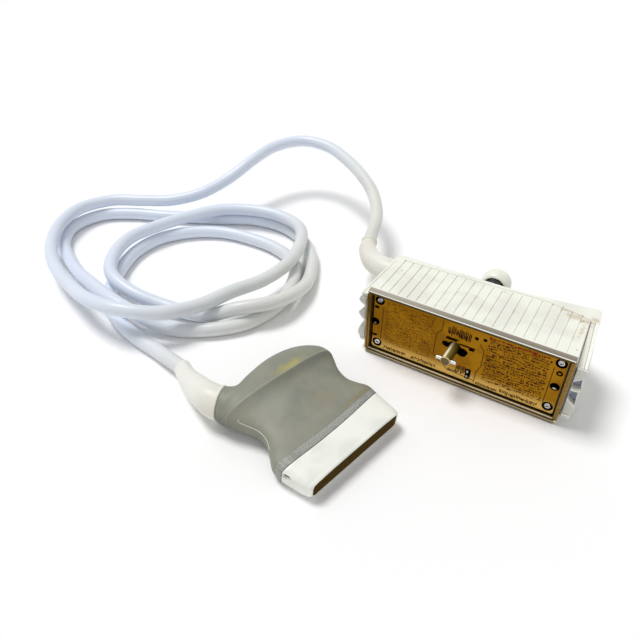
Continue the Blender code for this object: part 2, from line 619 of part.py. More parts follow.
SHAFT_TIP = SHELL_FRONT - SHAFT_REACH
KNOB_FRONT = COVER_END + 0.0105
SHAFT_END = KNOB_FRONT + 0.0080
lock_shaft = turned("lock_shaft", [
    (0.0, SHAFT_TIP), (SHAFT_RADIUS - 0.0006, SHAFT_TIP), (SHAFT_RADIUS, SHAFT_TIP + 0.0006),
    (SHAFT_RADIUS, SHAFT_END - 0.0004), (SHAFT_RADIUS - 0.0004, SHAFT_END), (0.0, SHAFT_END),
][::-1], BRASS)
PIN_Y = SHAFT_TIP + 0.0020
pin_hole = rod("cut_pin", (LOCK_X, PIN_Y, LOCK_Z), (1, 0, 0), PIN_RADIUS + GAP / 2, 0.02,
               cutter=True, sides=16)
cut(lock_shaft, pin_hole)
cross_pin = turned("cross_pin", [
    (0.0, -PIN_LENGTH / 2), (PIN_RADIUS - 0.0004, -PIN_LENGTH / 2),
    (PIN_RADIUS, -PIN_LENGTH / 2 + 0.0004), (PIN_RADIUS, PIN_LENGTH / 2 - 0.0004),
    (PIN_RADIUS - 0.0004, PIN_LENGTH / 2), (0.0, PIN_LENGTH / 2),
][::-1], STEEL, steps=16)
cross_pin.rotation_euler = (0, math.pi / 2, 0)
retaining_ring = turned("retaining_ring", [
    (seat, CHASSIS_BACK + 0.0046), (0.0050, CHASSIS_BACK + 0.0046),
    (0.0050, CHASSIS_BACK + 0.0056), (seat, CHASSIS_BACK + 0.0056),
][::-1], STEEL, ring=True)
lock_collar = turned("lock_collar", [
    (seat, COVER_END + 0.0018), (0.0048, COVER_END + 0.0018), (0.0052, COVER_END + 0.0022),
    (0.0052, KNOB_FRONT - 0.0012), (0.0064, KNOB_FRONT - 0.0002), (0.0064, KNOB_FRONT + 0.0029),
    (seat, KNOB_FRONT + 0.0029),
][::-1], BLACK, ring=True)
R = KNOB_RADIUS
lock_knob = turned("lock_knob", [
    (0.0, SHAFT_END + GAP), (seat, SHAFT_END + GAP), (seat, KNOB_FRONT + 0.0032),
    (0.0069, KNOB_FRONT + 0.0032), (0.0069, KNOB_FRONT + 0.0004), (0.0073, KNOB_FRONT),
    (0.80 * R, KNOB_FRONT), (0.90 * R, KNOB_FRONT + 0.0009), (0.97 * R, KNOB_FRONT + 0.0028),
    (R, KNOB_FRONT + 0.0055), (0.97 * R, KNOB_FRONT + 0.0080), (0.86 * R, KNOB_FRONT + 0.0105),
    (0.66 * R, KNOB_FRONT + 0.0122), (0.36 * R, KNOB_FRONT + KNOB_DEPTH - 0.0002),
    (0.0, KNOB_FRONT + KNOB_DEPTH),
][::-1], WHITE)
for piece in (lock_shaft, retaining_ring, lock_collar, lock_knob):
    piece.parent = lock_axis
cross_pin.parent = lock_axis
cross_pin.location = (0, PIN_Y, 0)

# Cable and the strain relief at the connector
route = smooth_curve([Vector(point) / 1000 for point in CABLE_ROUTE])
cable_line = even_points(route, CABLE_POINTS)
cable_radius = CABLE_DIAMETER / 2
tube("cable", cable_line, [cable_radius] * CABLE_POINTS, CABLE_WHITE)
start_way = (cable_line[1] - cable_line[0]).normalized()
end_way = (cable_line[-1] - cable_line[-2]).normalized()

relief_end = cable_line[0] - GAP * start_way
inner_x = BOSS_HIGH - 0.0030 - GAP
elbow = even_points(smooth_curve([
    (inner_x - 0.0050, RELIEF_Y, RELIEF_Z), (BOSS_LOW, RELIEF_Y, RELIEF_Z),
    (BOSS_LOW - 0.0080, RELIEF_Y, RELIEF_Z), (BOSS_LOW - 0.0165, RELIEF_Y + 0.0004, RELIEF_Z),
    (BOSS_LOW - 0.0278, RELIEF_Y + 0.0055, RELIEF_Z),
    (BOSS_LOW - 0.0366, RELIEF_Y + 0.0150, RELIEF_Z),
    relief_end - 0.006 * start_way, relief_end - 0.0022 * start_way,
]), 16)
elbow_radii = [RELIEF_RADIUS - 0.0032 * max(i - 6, 0) / 9 for i in range(16)]
elbow = [Vector((inner_x, RELIEF_Y, RELIEF_Z))] + elbow + [relief_end - 0.0020 * start_way, relief_end]
elbow_radii = [RELIEF_RADIUS] + elbow_radii + [0.0058, 0.0056]
tube("connector_strain_relief", elbow, elbow_radii, RUBBER_WHITE, resolution=3)
tube("connector_wire_bundle", [Vector((inner_x + GAP, RELIEF_Y - 0.0006, RELIEF_Z))]
     + even_points(smooth_curve([
         (inner_x + GAP + 0.0008, RELIEF_Y - 0.0006, RELIEF_Z),
         (BOSS_HIGH + 0.0015, RELIEF_Y - 0.0006, RELIEF_Z), (BOSS_HIGH + 0.0090, 0.0225, MID),
         (BOSS_HIGH + 0.0100, TERMINAL_FRONT + 0.0022, MID),
     ]), 8), [0.0035] * 9, COPPER)

# Probe head
head = bpy.data.objects.new("probe_head", None)
PARTS.objects.link(head)
head.location = HEAD_PLACE
head.rotation_euler = (0, HEAD_PITCH, HEAD_YAW)
HEAD_MATRIX = Matrix.Translation(HEAD_PLACE) @ Euler((0, HEAD_PITCH, HEAD_YAW)).to_matrix().to_4x4()

# Stations of the handle in millimetres: the near and far edge as (back, side),
# half thickness, bow of the station's line towards the nose and squareness
STATIONS = [
    ((16.7, -38.0), (17.9, 36.5), 7.2, 1.9, 5.0),
    ((19.9, -38.1), (21.0, 37.1), 7.45, 1.9, 4.6),
    ((24.3, -37.2), (25.4, 37.1), 7.6, 1.8, 4.2),
    ((30.0, -33.6), (30.8, 34.7), 7.5, 1.7, 3.9),
    ((36.5, -30.0), (37.0, 32.9), 7.4, 1.5, 3.6),
    ((44.5, -29.7), (45.0, 34.4), 8.0, 1.2, 3.4),
    ((54.0, -33.5), (52.4, 38.5), 9.5, 0.9, 3.2),
    ((60.4, -36.6), (57.0, 40.3), 12.1, 0.6, 3.0),
    ((61.4, -36.9), (63.5, 39.2), 12.4, 0.3, 2.9),
    ((62.2, -37.2), (70.0, 33.0), 12.3, 0.0, 2.8),
    ((62.8, -37.4), (74.4, 24.0), 12.0, 0.0, 2.7),
    ((63.4, -37.5), (76.2, 12.5), 11.7, 0.0, 2.6),
    ((64.0, -37.7), (75.2, 0.0), 11.3, 0.0, 2.4),
    ((65.2, -38.0), (72.9, -9.8), 10.7, 0.0, 2.3),
    ((66.7, -38.2), (73.4, -16.5), 10.2, 0.0, 2.1),
    ((68.4, -38.0), (77.2, -21.1), 9.9, 0.0, 2.0),
]


HEAD_UNIT = NOSE_WIDTH / 69


def across(station, share, extra=0.0):
    """A place on a station's line: share runs from -1 at the near edge to 1 at the far edge."""
    (near_a, near_b), (far_a, far_b), _, bow, _ = station
    a = near_a + (far_a - near_a) * (share + 1) / 2 + bow * (share * share - 1)
    b = near_b + (far_b - near_b) * (share + 1) / 2
    return -a * HEAD_UNIT - extra, b * HEAD_UNIT


def handle_half(name, up):
    """One half shell of the handle."""
    count = 18
    bm = bmesh.new()
    rows = []
    for index, station in enumerate(STATIONS):
        row = []
        power = station[4]
        for k in range(count + 1):
            angle = math.pi * k / count
            share = math.copysign(abs(math.cos(angle)) ** (2 / power), -math.cos(angle))
            rise = abs(math.sin(angle)) ** (2 / power)
            x, y = across(station, share, GAP / 2 if index == 0 else 0.0)
            row.append(bm.verts.new((x, y, up * (GAP / 2 + station[2] * HEAD_UNIT * rise))))
        rows.append(row)
    for first, second in zip(rows, rows[1:]):
        for k in range(count):
            corners = (first[k], first[k + 1], second[k + 1], second[k])
            bm.faces.new(corners if up < 0 else corners[::-1])
    mesh = bpy.data.meshes.new(name)
    bm.to_mesh(mesh)
    bm.free()
    mesh.shade_smooth()
    mesh.set_sharp_from_angle(angle=math.radians(35))
    made = link(bpy.data.objects.new(name, mesh), GREY, head)
    shell = made.modifiers.new("wall", "SOLIDIFY")
    shell.thickness = HANDLE_WALL
    shell.offset = -1.0
    return made


handle_half("handle_upper", 1)
handle_half("handle_lower", -1)

# Nose: a hollow front shell whose rear rim meets the handle
JOINT = STATIONS[0]


def nose_ring(depth, inset):
    """A ring of the nose at a share of its depth, from the face at 0 to the joint at 1."""
    points = []
    power = JOINT[4]
    width = NOSE_WIDTH / 2 - inset
    height = NOSE_THICKNESS / 2 - inset
    back_height = JOINT[2] * HEAD_UNIT - inset
    for k in range(48):
        angle = 2 * math.pi * k / 48
        share = math.copysign(abs(math.cos(angle)) ** (2 / power), math.cos(angle))
        rise = math.copysign(abs(math.sin(angle)) ** (2 / power), math.sin(angle))
        x, y = across(JOINT, share, -GAP / 2)
        y -= math.copysign(inset, share) * abs(share)
        points.append((x * depth, (1 - depth) * width * share + depth * y,
                       ((1 - depth) * height + depth * back_height) * rise))
    return points


def slot_ring(x, half_width, half_height):
    """A ring of a round-ended slot, with as many points as the nose's rings."""
    points = []
    for k in range(48):
        angle = 2 * math.pi * k / 48
        share = math.copysign(abs(math.cos(angle)) ** 0.4, math.cos(angle))
        rise = math.copysign(abs(math.sin(angle)) ** 0.4, math.sin(angle))
        points.append((x, half_width * share, half_height * rise))
    return points


def shifted(ring, way):
    """Move a ring along X."""
    return [(x + way, y, z) for x, y, z in ring]


LENS_HALF_X = NOSE_WIDTH / 2 - LENS_MARGIN
LENS_HALF_Z = LENS_HEIGHT / 2
loft("nose_shell", [
    nose_ring(0.0, 0.0011),
    shifted(nose_ring(0.0, 0.0003), -0.0005),
    shifted(nose_ring(0.04, 0.0), -0.0012),
    nose_ring(1.0, 0.0),
    nose_ring(1.0, NOSE_WALL),
    shifted(nose_ring(0.0, NOSE_WALL), -0.0026),
    slot_ring(-0.0026, LENS_HALF_X + GAP, LENS_HALF_Z + GAP),
    slot_ring(0.0, LENS_HALF_X + GAP, LENS_HALF_Z + GAP),
], NOSE_WHITE, head, closed=True, smooth=35)
loft("acoustic_lens", [
    slot_ring(0.0005, LENS_HALF_X - 0.0012, LENS_HALF_Z - 0.0022),
    slot_ring(0.0003, LENS_HALF_X - 0.0004, LENS_HALF_Z - 0.0008),
    slot_ring(0.0, LENS_HALF_X, LENS_HALF_Z),
    slot_ring(-0.0024, LENS_HALF_X, LENS_HALF_Z),
], LENS, head, smooth=35)

# Acoustic stack behind the lens
STACK_X = LENS_HALF_X - 0.0022
STACK_Z = LENS_HALF_Z - 0.0008
box("matching_layer", (-0.0037, -STACK_X, -STACK_Z), (-0.0029, STACK_X, STACK_Z), CERAMIC, head)
box("piezo_array", (-0.0048, -STACK_X, -STACK_Z), (-0.0040, STACK_X, STACK_Z), CERAMIC, head)
STACK_BACK = 12.0 * HEAD_UNIT
box("backing_block", (-STACK_BACK, -STACK_X + 0.001, -STACK_Z + 0.0008),
    (-0.0051, STACK_X - 0.001, STACK_Z - 0.0008), EPOXY, head)
for side, up in (("upper", 1), ("lower", -1)):
    low, high = sorted((up * (STACK_Z - 0.0004), up * (STACK_Z - 0.0001)))
    box("flex_circuit_" + side, (-33.0 * HEAD_UNIT, -24.0 * HEAD_UNIT, low),
        (-0.0052, 24.0 * HEAD_UNIT, high), POLYIMIDE, head)
FRAME_END = 24.0 * HEAD_UNIT
BOARD_END = 54.0 * HEAD_UNIT
box("head_board", (-BOARD_END, -21.0 * HEAD_UNIT, -0.0008), (-FRAME_END - GAP, 21.0 * HEAD_UNIT, 0.0008),
    LAMINATE, head)
box("array_frame", (-FRAME_END, -26.0 * HEAD_UNIT, -0.0028),
    (-STACK_BACK - 0.0004, 26.0 * HEAD_UNIT, 0.0028), ALUMINIUM, head, bevel=0.0005)

# Strain relief of the head, from the handle's tail to the cable
tail_near, tail_far = STATIONS[-1][0], STATIONS[-1][1]
tail = Vector((-(tail_near[0] + tail_far[0]) / 2, (tail_near[1] + tail_far[1]) / 2, 0)) * HEAD_UNIT
tail_line = Vector((-(tail_far[0] - tail_near[0]), tail_far[1] - tail_near[1], 0)).normalized()
tail_way = Vector((-tail_line.y, tail_line.x, 0))
to_head = HEAD_MATRIX.inverted()
boot_end = to_head @ (cable_line[-1] + GAP * end_way)
boot_way = (to_head.to_3x3() @ end_way).normalized()
first = tail + GAP * tail_way
boot = [first, first + 0.0035 * tail_way] + even_points(smooth_curve([
    first + 0.0070 * tail_way + Vector((-0.0007, 0.0010, 0)),
    Vector((-90.8, -30.6, -3.8)) * HEAD_UNIT,
    Vector((-0.1058, -0.0278, -0.0079)), boot_end + 0.0010 * boot_way,
]), 10) + [boot_end]
boot_radii = [0.0099, 0.0095, 0.0090, 0.0087, 0.0084, 0.0080, 0.0075, 0.0069, 0.0063, 0.0058,
              0.0055, 0.0053, 0.0052]
tube("probe_strain_relief", boot, boot_radii, RUBBER_WHITE, head, resolution=3)
tube("head_wire_bundle", [
    tail, tail - 0.0060 * tail_way, Vector((-61.0, -19.8, 0)) * HEAD_UNIT,
    Vector((-BOARD_END - GAP, -19.6 * HEAD_UNIT, 0)),
], [0.0032] * 4, COPPER, head)
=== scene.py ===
"""Ultrasound transducer probe: the finished surfaces, the stage and the camera."""

import json
import math
import random

import bpy
from mathutils import Euler, Matrix, Vector


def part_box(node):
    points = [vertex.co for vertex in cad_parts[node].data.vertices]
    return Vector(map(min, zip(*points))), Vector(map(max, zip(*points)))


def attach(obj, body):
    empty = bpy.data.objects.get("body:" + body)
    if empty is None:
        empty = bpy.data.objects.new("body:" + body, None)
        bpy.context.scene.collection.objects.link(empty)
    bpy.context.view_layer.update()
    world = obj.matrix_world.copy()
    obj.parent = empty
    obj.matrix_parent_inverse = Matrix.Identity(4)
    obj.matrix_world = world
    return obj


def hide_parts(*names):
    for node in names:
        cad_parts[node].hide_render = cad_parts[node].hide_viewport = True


bl_info = {
    "name": "Ultrasound Transducer Probe",
    "version": (1, 0, 0),
    "blender": (4, 5, 0),
    "location": "View3D > Sidebar > Probe",
    "description": "Builds the finished surfaces of an ultrasound transducer probe",
    "category": "Object",
}

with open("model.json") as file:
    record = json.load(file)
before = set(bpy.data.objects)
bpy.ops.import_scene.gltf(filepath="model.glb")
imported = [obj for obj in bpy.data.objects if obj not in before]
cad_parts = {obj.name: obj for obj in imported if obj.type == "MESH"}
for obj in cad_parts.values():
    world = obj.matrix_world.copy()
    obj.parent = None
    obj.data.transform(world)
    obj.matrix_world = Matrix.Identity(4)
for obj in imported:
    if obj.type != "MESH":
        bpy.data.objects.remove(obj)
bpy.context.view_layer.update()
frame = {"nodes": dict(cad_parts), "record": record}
MM = 0.001
DOUBLES = 0.000005  # points closer than this are one point

# The head lies turned and tipped on the surface; its own frame looks forward along +X
HEAD_PLACE = Vector((-0.0219, -0.1031, 0.0066))
HEAD_TURN = Euler((0, math.radians(5.4), math.radians(-12.54)))
HEAD_MATRIX = Matrix.Translation(HEAD_PLACE) @ HEAD_TURN.to_matrix().to_4x4()

# The camera that took the photograph, fitted to the connector's edges
CAMERA_PLACE = (0.0649, -0.2824, 0.2540)
CAMERA_TURN = (math.radians(51.29), 0, math.radians(31.34))

# Connector: the lock's axis and the board's face in metres, the guide holes in millimetres
LOCK_X = -0.0043
LOCK_Z = 0.0255
PLATE_FRONT = -0.020
GUIDE_PLACES = ((-55.0, 23.7), (53.4, 23.4))

# Places that the cable passes, in millimetres, from the connector to the head
CABLE_ROUTE = [
    (-101.0, 59.9, 24.9), (-109, 86, 30.5), (-124, 108, 36), (-143, 124, 40.5), (-165, 138, 43.5),
    (-189, 148, 46), (-215, 147, 46), (-232, 129, 43.5), (-238, 104, 39), (-246, 81, 30),
    (-262, 62, 20), (-282, 46, 15), (-304, 33, 14.5), (-326, 20, 14.5), (-337, -4, 15),
    (-331, -29, 15), (-316, -50, 15), (-296, -67, 15), (-273, -79, 15.5), (-248, -88, 17.5),
    (-224, -95, 22), (-198, -95, 25), (-176, -82, 22), (-163, -60, 18.5), (-154, -36, 18.5),
    (-147, -10, 15), (-144, 16, 15), (-150, 41, 15), (-164, 63, 15), (-188, 71, 15),
    (-214, 67, 15), (-236, 54, 15), (-251, 33, 14.5), (-262, 9, 14.5), (-268, -16, 14.5),
    (-260, -41, 14.5), (-242, -60, 15), (-217, -65, 11.5), (-192, -60, 6.5), (-166, -54, 5.5),
    (-143, -44, 14), (-126, -26, 14.5), (-123, -0, 9.5), (-130, 24, 5), (-144, 47, 5),
    (-164, 64, 5), (-188, 72, 5), (-214, 69, 5), (-237, 57, 5), (-261, 45, 5),
    (-284, 34, 5), (-308, 24, 5), (-329, 8, 5), (-334, -17, 5), (-321, -38, 5),
    (-299, -52, 5), (-275, -63, 6.5), (-251, -72, 11.5), (-226, -80, 15), (-200, -82, 13),
    (-176, -76, 5.5), (-153, -63, 5), (-136, -44, 5), (-130, -19, 5), (-135, 7, 5),
    (-148, 30, 5), (-171, 41, 5), (-197, 43, 5), (-223, 39, 5), (-245, 26, 5),
    (-260, 5, 5), (-262, -20, 5), (-253, -45, 5), (-239, -67, 5), (-219, -83, 5),
    (-194, -92, 5), (-168, -96, 5), (-143, -101, 7),
]

# Stations of the handle in millimetres: the near and far edge as (back, side),
# half thickness, bow of the line towards the nose and squareness of the section
HANDLE_STATIONS = [
    ((16.7, -38.0), (17.9, 36.5), 7.2, 1.9, 5.0),
    ((19.9, -38.1), (21.0, 37.1), 7.45, 1.9, 4.6),
    ((24.3, -37.2), (25.4, 37.1), 7.6, 1.8, 4.2),
    ((30.0, -33.6), (30.8, 34.7), 7.5, 1.7, 3.9),
    ((36.5, -30.0), (37.0, 32.9), 7.4, 1.5, 3.6),
    ((44.5, -29.7), (45.0, 34.4), 8.0, 1.2, 3.4),
    ((54.0, -33.5), (52.4, 38.5), 9.5, 0.9, 3.2),
    ((60.4, -36.6), (57.0, 40.3), 12.1, 0.6, 3.0),
    ((61.4, -36.9), (63.5, 39.2), 12.4, 0.3, 2.9),
    ((62.2, -37.2), (70.0, 33.0), 12.3, 0.0, 2.8),
    ((62.8, -37.4), (74.4, 24.0), 12.0, 0.0, 2.7),
    ((63.4, -37.5), (76.2, 12.5), 11.7, 0.0, 2.6),
    ((64.0, -37.7), (75.2, 0.0), 11.3, 0.0, 2.4),
    ((65.2, -38.0), (72.9, -9.8), 10.7, 0.0, 2.3),
    ((66.7, -38.2), (73.4, -16.5), 10.2, 0.0, 2.1),
    ((68.4, -38.0), (77.2, -21.1), 9.9, 0.0, 2.0),
]
# Where a station's row of numbers holds its half thickness and its squareness
THICKNESS = 4
SQUARENESS = 6
CREASE = 7  # the station with the sharp crease

# Side grips: name, side, taper towards the rear, outline and the pockets in its front end
GRIPS = (
    ("left", -1, 0.115, (
        (64.6, 40.2), (66.2, 38.0), (66.6, 36.4), (65.8, 34.6), (63.6, 33.3), (62.8, 32.4),
        (63.6, 31.0), (65.6, 28.6), (66.6, 26.2), (65.6, 24.2), (63.4, 22.6), (62.6, 21.4),
        (63.4, 19.4), (65.0, 16.6), (66.4, 12.6), (66.6, 10.6), (65.8, 8.6), (64.8, 7.8)), (
        ((61.6, 39.0), (64.4, 39.0), (65.6, 36.6), (64.6, 35.2), (61.6, 34.0)),
        ((61.6, 29.6), (64.2, 28.8), (65.6, 26.2), (64.4, 24.6), (61.6, 23.4)),
        ((61.6, 17.6), (64.0, 15.6), (65.6, 11.6), (64.6, 9.4), (61.6, 8.9)))),
    ("right", 1, 0.068, (
        (65.6, 40.2), (66.5, 36.8), (66.3, 35.0), (65.4, 33.6), (65.7, 31.0), (66.5, 27.4),
        (66.2, 25.8), (65.6, 24.2), (65.5, 21.5), (66.1, 17.0), (66.6, 13.2), (66.2, 10.6),
        (65.2, 7.8)), (
        ((61.2, 31.2), (65.0, 34.4), (65.3, 31.0), (65.9, 28.1), (63.1, 27.2), (61.2, 27.1)),
        ((61.2, 24.8), (65.0, 25.2), (65.1, 21.5), (65.6, 16.2), (63.0, 17.6), (61.2, 19.2)))),
)
# Crests round the grips' pockets, bright with a painted highlight: side, line and radius
CRESTS = (
    (1, ((61.0, 26.4), (63.0, 25.9), (65.9, 26.6)), 0.62),
    (1, ((60.9, 18.9), (62.8, 17.0), (65.6, 14.9)), 0.60),
    (1, ((60.8, 41.3), (66.0, 40.8)), 0.50),
    (1, ((60.6, 4.9), (64.6, 4.7), (65.3, 7.0)), 0.35),
    (1, ((61.0, 31.9), (63.2, 33.6), (65.4, 35.3)), 0.30),
    (-1, ((63.2, 34.0), (65.8, 35.2), (66.2, 37.6), (64.7, 39.9)), 0.42),
    (-1, ((62.9, 31.4), (65.0, 28.8), (66.2, 26.2), (63.1, 22.6)), 0.42),
    (-1, ((62.9, 20.4), (64.9, 16.2), (66.2, 11.4), (65.0, 8.2)), 0.42),
)
# Outline of the opening round the lock shaft in the board
LOCK_SLOT = [
    (-11.6, 25.6), (-11.2, 27.0), (-9.6, 27.8), (-8.0, 27.6), (-6.6, 28.5), (-4.3, 29.2),
    (-2.2, 28.4), (-0.6, 26.3), (1.2, 25.0), (2.9, 23.9), (3.3, 22.3), (2.2, 20.8), (0.2, 20.2),
    (-1.8, 21.2), (-4.3, 21.6), (-6.4, 22.5), (-7.6, 23.9), (-9.4, 23.6), (-11.0, 24.2),
]


class CableSettings(bpy.types.PropertyGroup):
    """Sizes and colours of the cable and its strain reliefs."""
    diameter: bpy.props.FloatProperty(
        name="Diameter", description="Outer diameter of the cable", default=0.0094, unit="LENGTH")
    jacket: bpy.props.StringProperty(
        name="Jacket", description="Colour of the cable jacket as sRGB hex", default="E2E2DC")
    relief: bpy.props.StringProperty(
        name="Relief", description="Colour of the strain reliefs as sRGB hex", default="ECEBE4")


class HeadSettings(bpy.types.PropertyGroup):
    """Sizes and colours of the probe head."""
    wall: bpy.props.FloatProperty(
        name="Wall", description="Wall of the handle", default=0.0026, unit="LENGTH")
    band: bpy.props.FloatProperty(
        name="Band", description="Width of the band behind the nose", default=0.0040,
        unit="LENGTH")
    grip: bpy.props.StringProperty(
        name="Grip", description="Colour of the handle as sRGB hex", default="8B8B7B")
    nose: bpy.props.StringProperty(
        name="Nose", description="Colour of the nose as sRGB hex", default="F6F7EE")
    lens: bpy.props.StringProperty(
        name="Lens", description="Colour of the lens as sRGB hex", default="4C380F")


class ConnectorSettings(bpy.types.PropertyGroup):
    """Sizes and colours of the connector."""
    edge: bpy.props.FloatProperty(
        name="Edge", description="Rounding of the housing's and the shell's edges",
        default=0.00018, unit="LENGTH")
    housing: bpy.props.StringProperty(
        name="Housing", description="Colour of the housing as sRGB hex", default="F4F5E9")
    shell: bpy.props.StringProperty(
        name="Shell", description="Colour of the gold shell as sRGB hex", default="8E7032")
    board: bpy.props.StringProperty(
        name="Board", description="Colour of the contact board as sRGB hex", default="B47E10")
    pads: bpy.props.StringProperty(
        name="Pads", description="Colour of the contact pads as sRGB hex", default="40180A")


class StageSettings(bpy.types.PropertyGroup):
    """Floor, lights and camera."""
    floor_size: bpy.props.FloatProperty(
        name="Floor", description="Side of the floor", default=6.0, unit="LENGTH")
    key: bpy.props.FloatProperty(
        name="Key light", description="Strength of the main light", default=1.86)
    fill: bpy.props.FloatProperty(
        name="Fill light", description="Strength of the soft front light", default=0.3)
    ambient: bpy.props.FloatProperty(
        name="Ambient", description="Strength of the surrounding light", default=0.41)


# Materials

def linear(code):
    """An sRGB hex colour as linear values."""
    values = []
    for k in (0, 2, 4):
        c = int(code[k:k + 2], 16) / 255
        values.append(c / 12.92 if c <= 0.04045 else ((c + 0.055) / 1.055) ** 2.4)
    return (*values, 1.0)


def darker(code, share):
    """A hex colour with its values cut to a share."""
    return "%02X%02X%02X" % tuple(int(int(code[k:k + 2], 16) * share) for k in (0, 2, 4))


def feed(tree, made, inputs):
    """Give a node its inputs. An input is a value, an sRGB hex colour, an output of another node,
    or another node, which gives its first output in use."""
    for name, value in inputs.items():
        if isinstance(value, bpy.types.Node):
            value = next(output for output in value.outputs if output.enabled)
        if isinstance(value, bpy.types.NodeSocket):
            tree.links.new(value, made.inputs[name])
        else:
            made.inputs[name].default_value = linear(value) if isinstance(value, str) else value


def node(tree, kind, inputs=None, **settings):
    """Add a shader node with its settings and inputs."""
    made = tree.nodes.new("ShaderNode" + kind)
    for name, value in settings.items():
        setattr(made, name, value)
    feed(tree, made, inputs or {})
    return made


def new_material(name, colour, roughness, metallic=0.0, **sockets):
    """A material with one Principled shader; returns it with its tree and shader."""
    made = bpy.data.materials.new(name)
    made.use_nodes = True
    tree = made.node_tree
    shader = tree.nodes["Principled BSDF"]
    feed(tree, shader, {"Base Color": colour, "Roughness": roughness, "Metallic": metallic})
    feed(tree, shader, {socket.replace("_", " "): value for socket, value in sockets.items()})
    return made, tree, shader


def object_place(tree):
    """Object coordinates in millimetres."""
    place = node(tree, "TexCoord").outputs["Object"]
    return node(tree, "Mapping", {"Vector": place, "Scale": (1000.0,) * 3})


def finish(tree, shader, base, height, strength, distance):
    """Give a shader its colour and a fine relief."""
    bump = node(tree, "Bump", {"Height": height, "Strength": strength, "Distance": distance})
    feed(tree, shader, {"Base Color": base, "Normal": bump})


def along(tree, place, way, start=0.0):
    """How far a point lies along a way, counted from a start."""
    reach = node(tree, "VectorMath", {0: place, 1: way}, operation="DOT_PRODUCT")
    return node(tree, "Math", {0: reach, 1: start}, operation="SUBTRACT")


def meet(tree, *masks):
    """Multiply masks. A mask is a number, a node, or a value with where it gives 0 and 1."""
    whole = None
    for mask in masks:
        if isinstance(mask, tuple):
            value, none, full = mask
            mask = node(tree, "MapRange", {"Value": value, "From Min": none, "From Max": full},
                        interpolation_type="SMOOTHSTEP")
        whole = mask if whole is None else node(tree, "Math", {0: whole, 1: mask},
                                                operation="MULTIPLY")
    return whole


def layer(tree, base, tone, *masks):
    """Lay one colour over another where all masks meet."""
    return node(tree, "Mix", {0: meet(tree, *masks), 6: base, 7: tone}, data_type="RGBA")


def between(value, low, high, soft=0.1):
    """The two masks of a strip, from low to high."""
    return (value, low - soft, low), (value, high + soft, high)


def stripes(tree, value, low, high, stops):
    """Bands of colour across a value; the stops hold a share of the way and a colour."""
    share = node(tree, "MapRange", {"Value": value, "From Min": low, "From Max": high})
    made = node(tree, "ValToRGB", {"Fac": share})
    marks = made.color_ramp.elements
    while len(marks) < len(stops):
        marks.new(1.0)
    for mark, (position, code) in zip(marks, stops):
        mark.position = position
        mark.color = linear(code)
    return made


def blot(tree, place, centre, radii, rough=0.35, grain=4.0):
    """The mask of a soft-edged patch round a place in millimetres, broken up by noise."""
    near = node(tree, "Mapping", {"Vector": place, "Location": centre, "Scale": radii},
                vector_type="TEXTURE")
    reach = node(tree, "VectorMath", {0: near}, operation="LENGTH")
    noise = node(tree, "TexNoise", {"Vector": place, "Scale": 1.0 / grain, "Detail": 4.0})
    swing = node(tree, "Math", {0: noise, 1: 0.5}, operation="SUBTRACT")
    edge = node(tree, "Math", {0: swing, 1: rough * 4, 2: reach}, operation="MULTIPLY_ADD")
    return edge, 1.15, 0.1


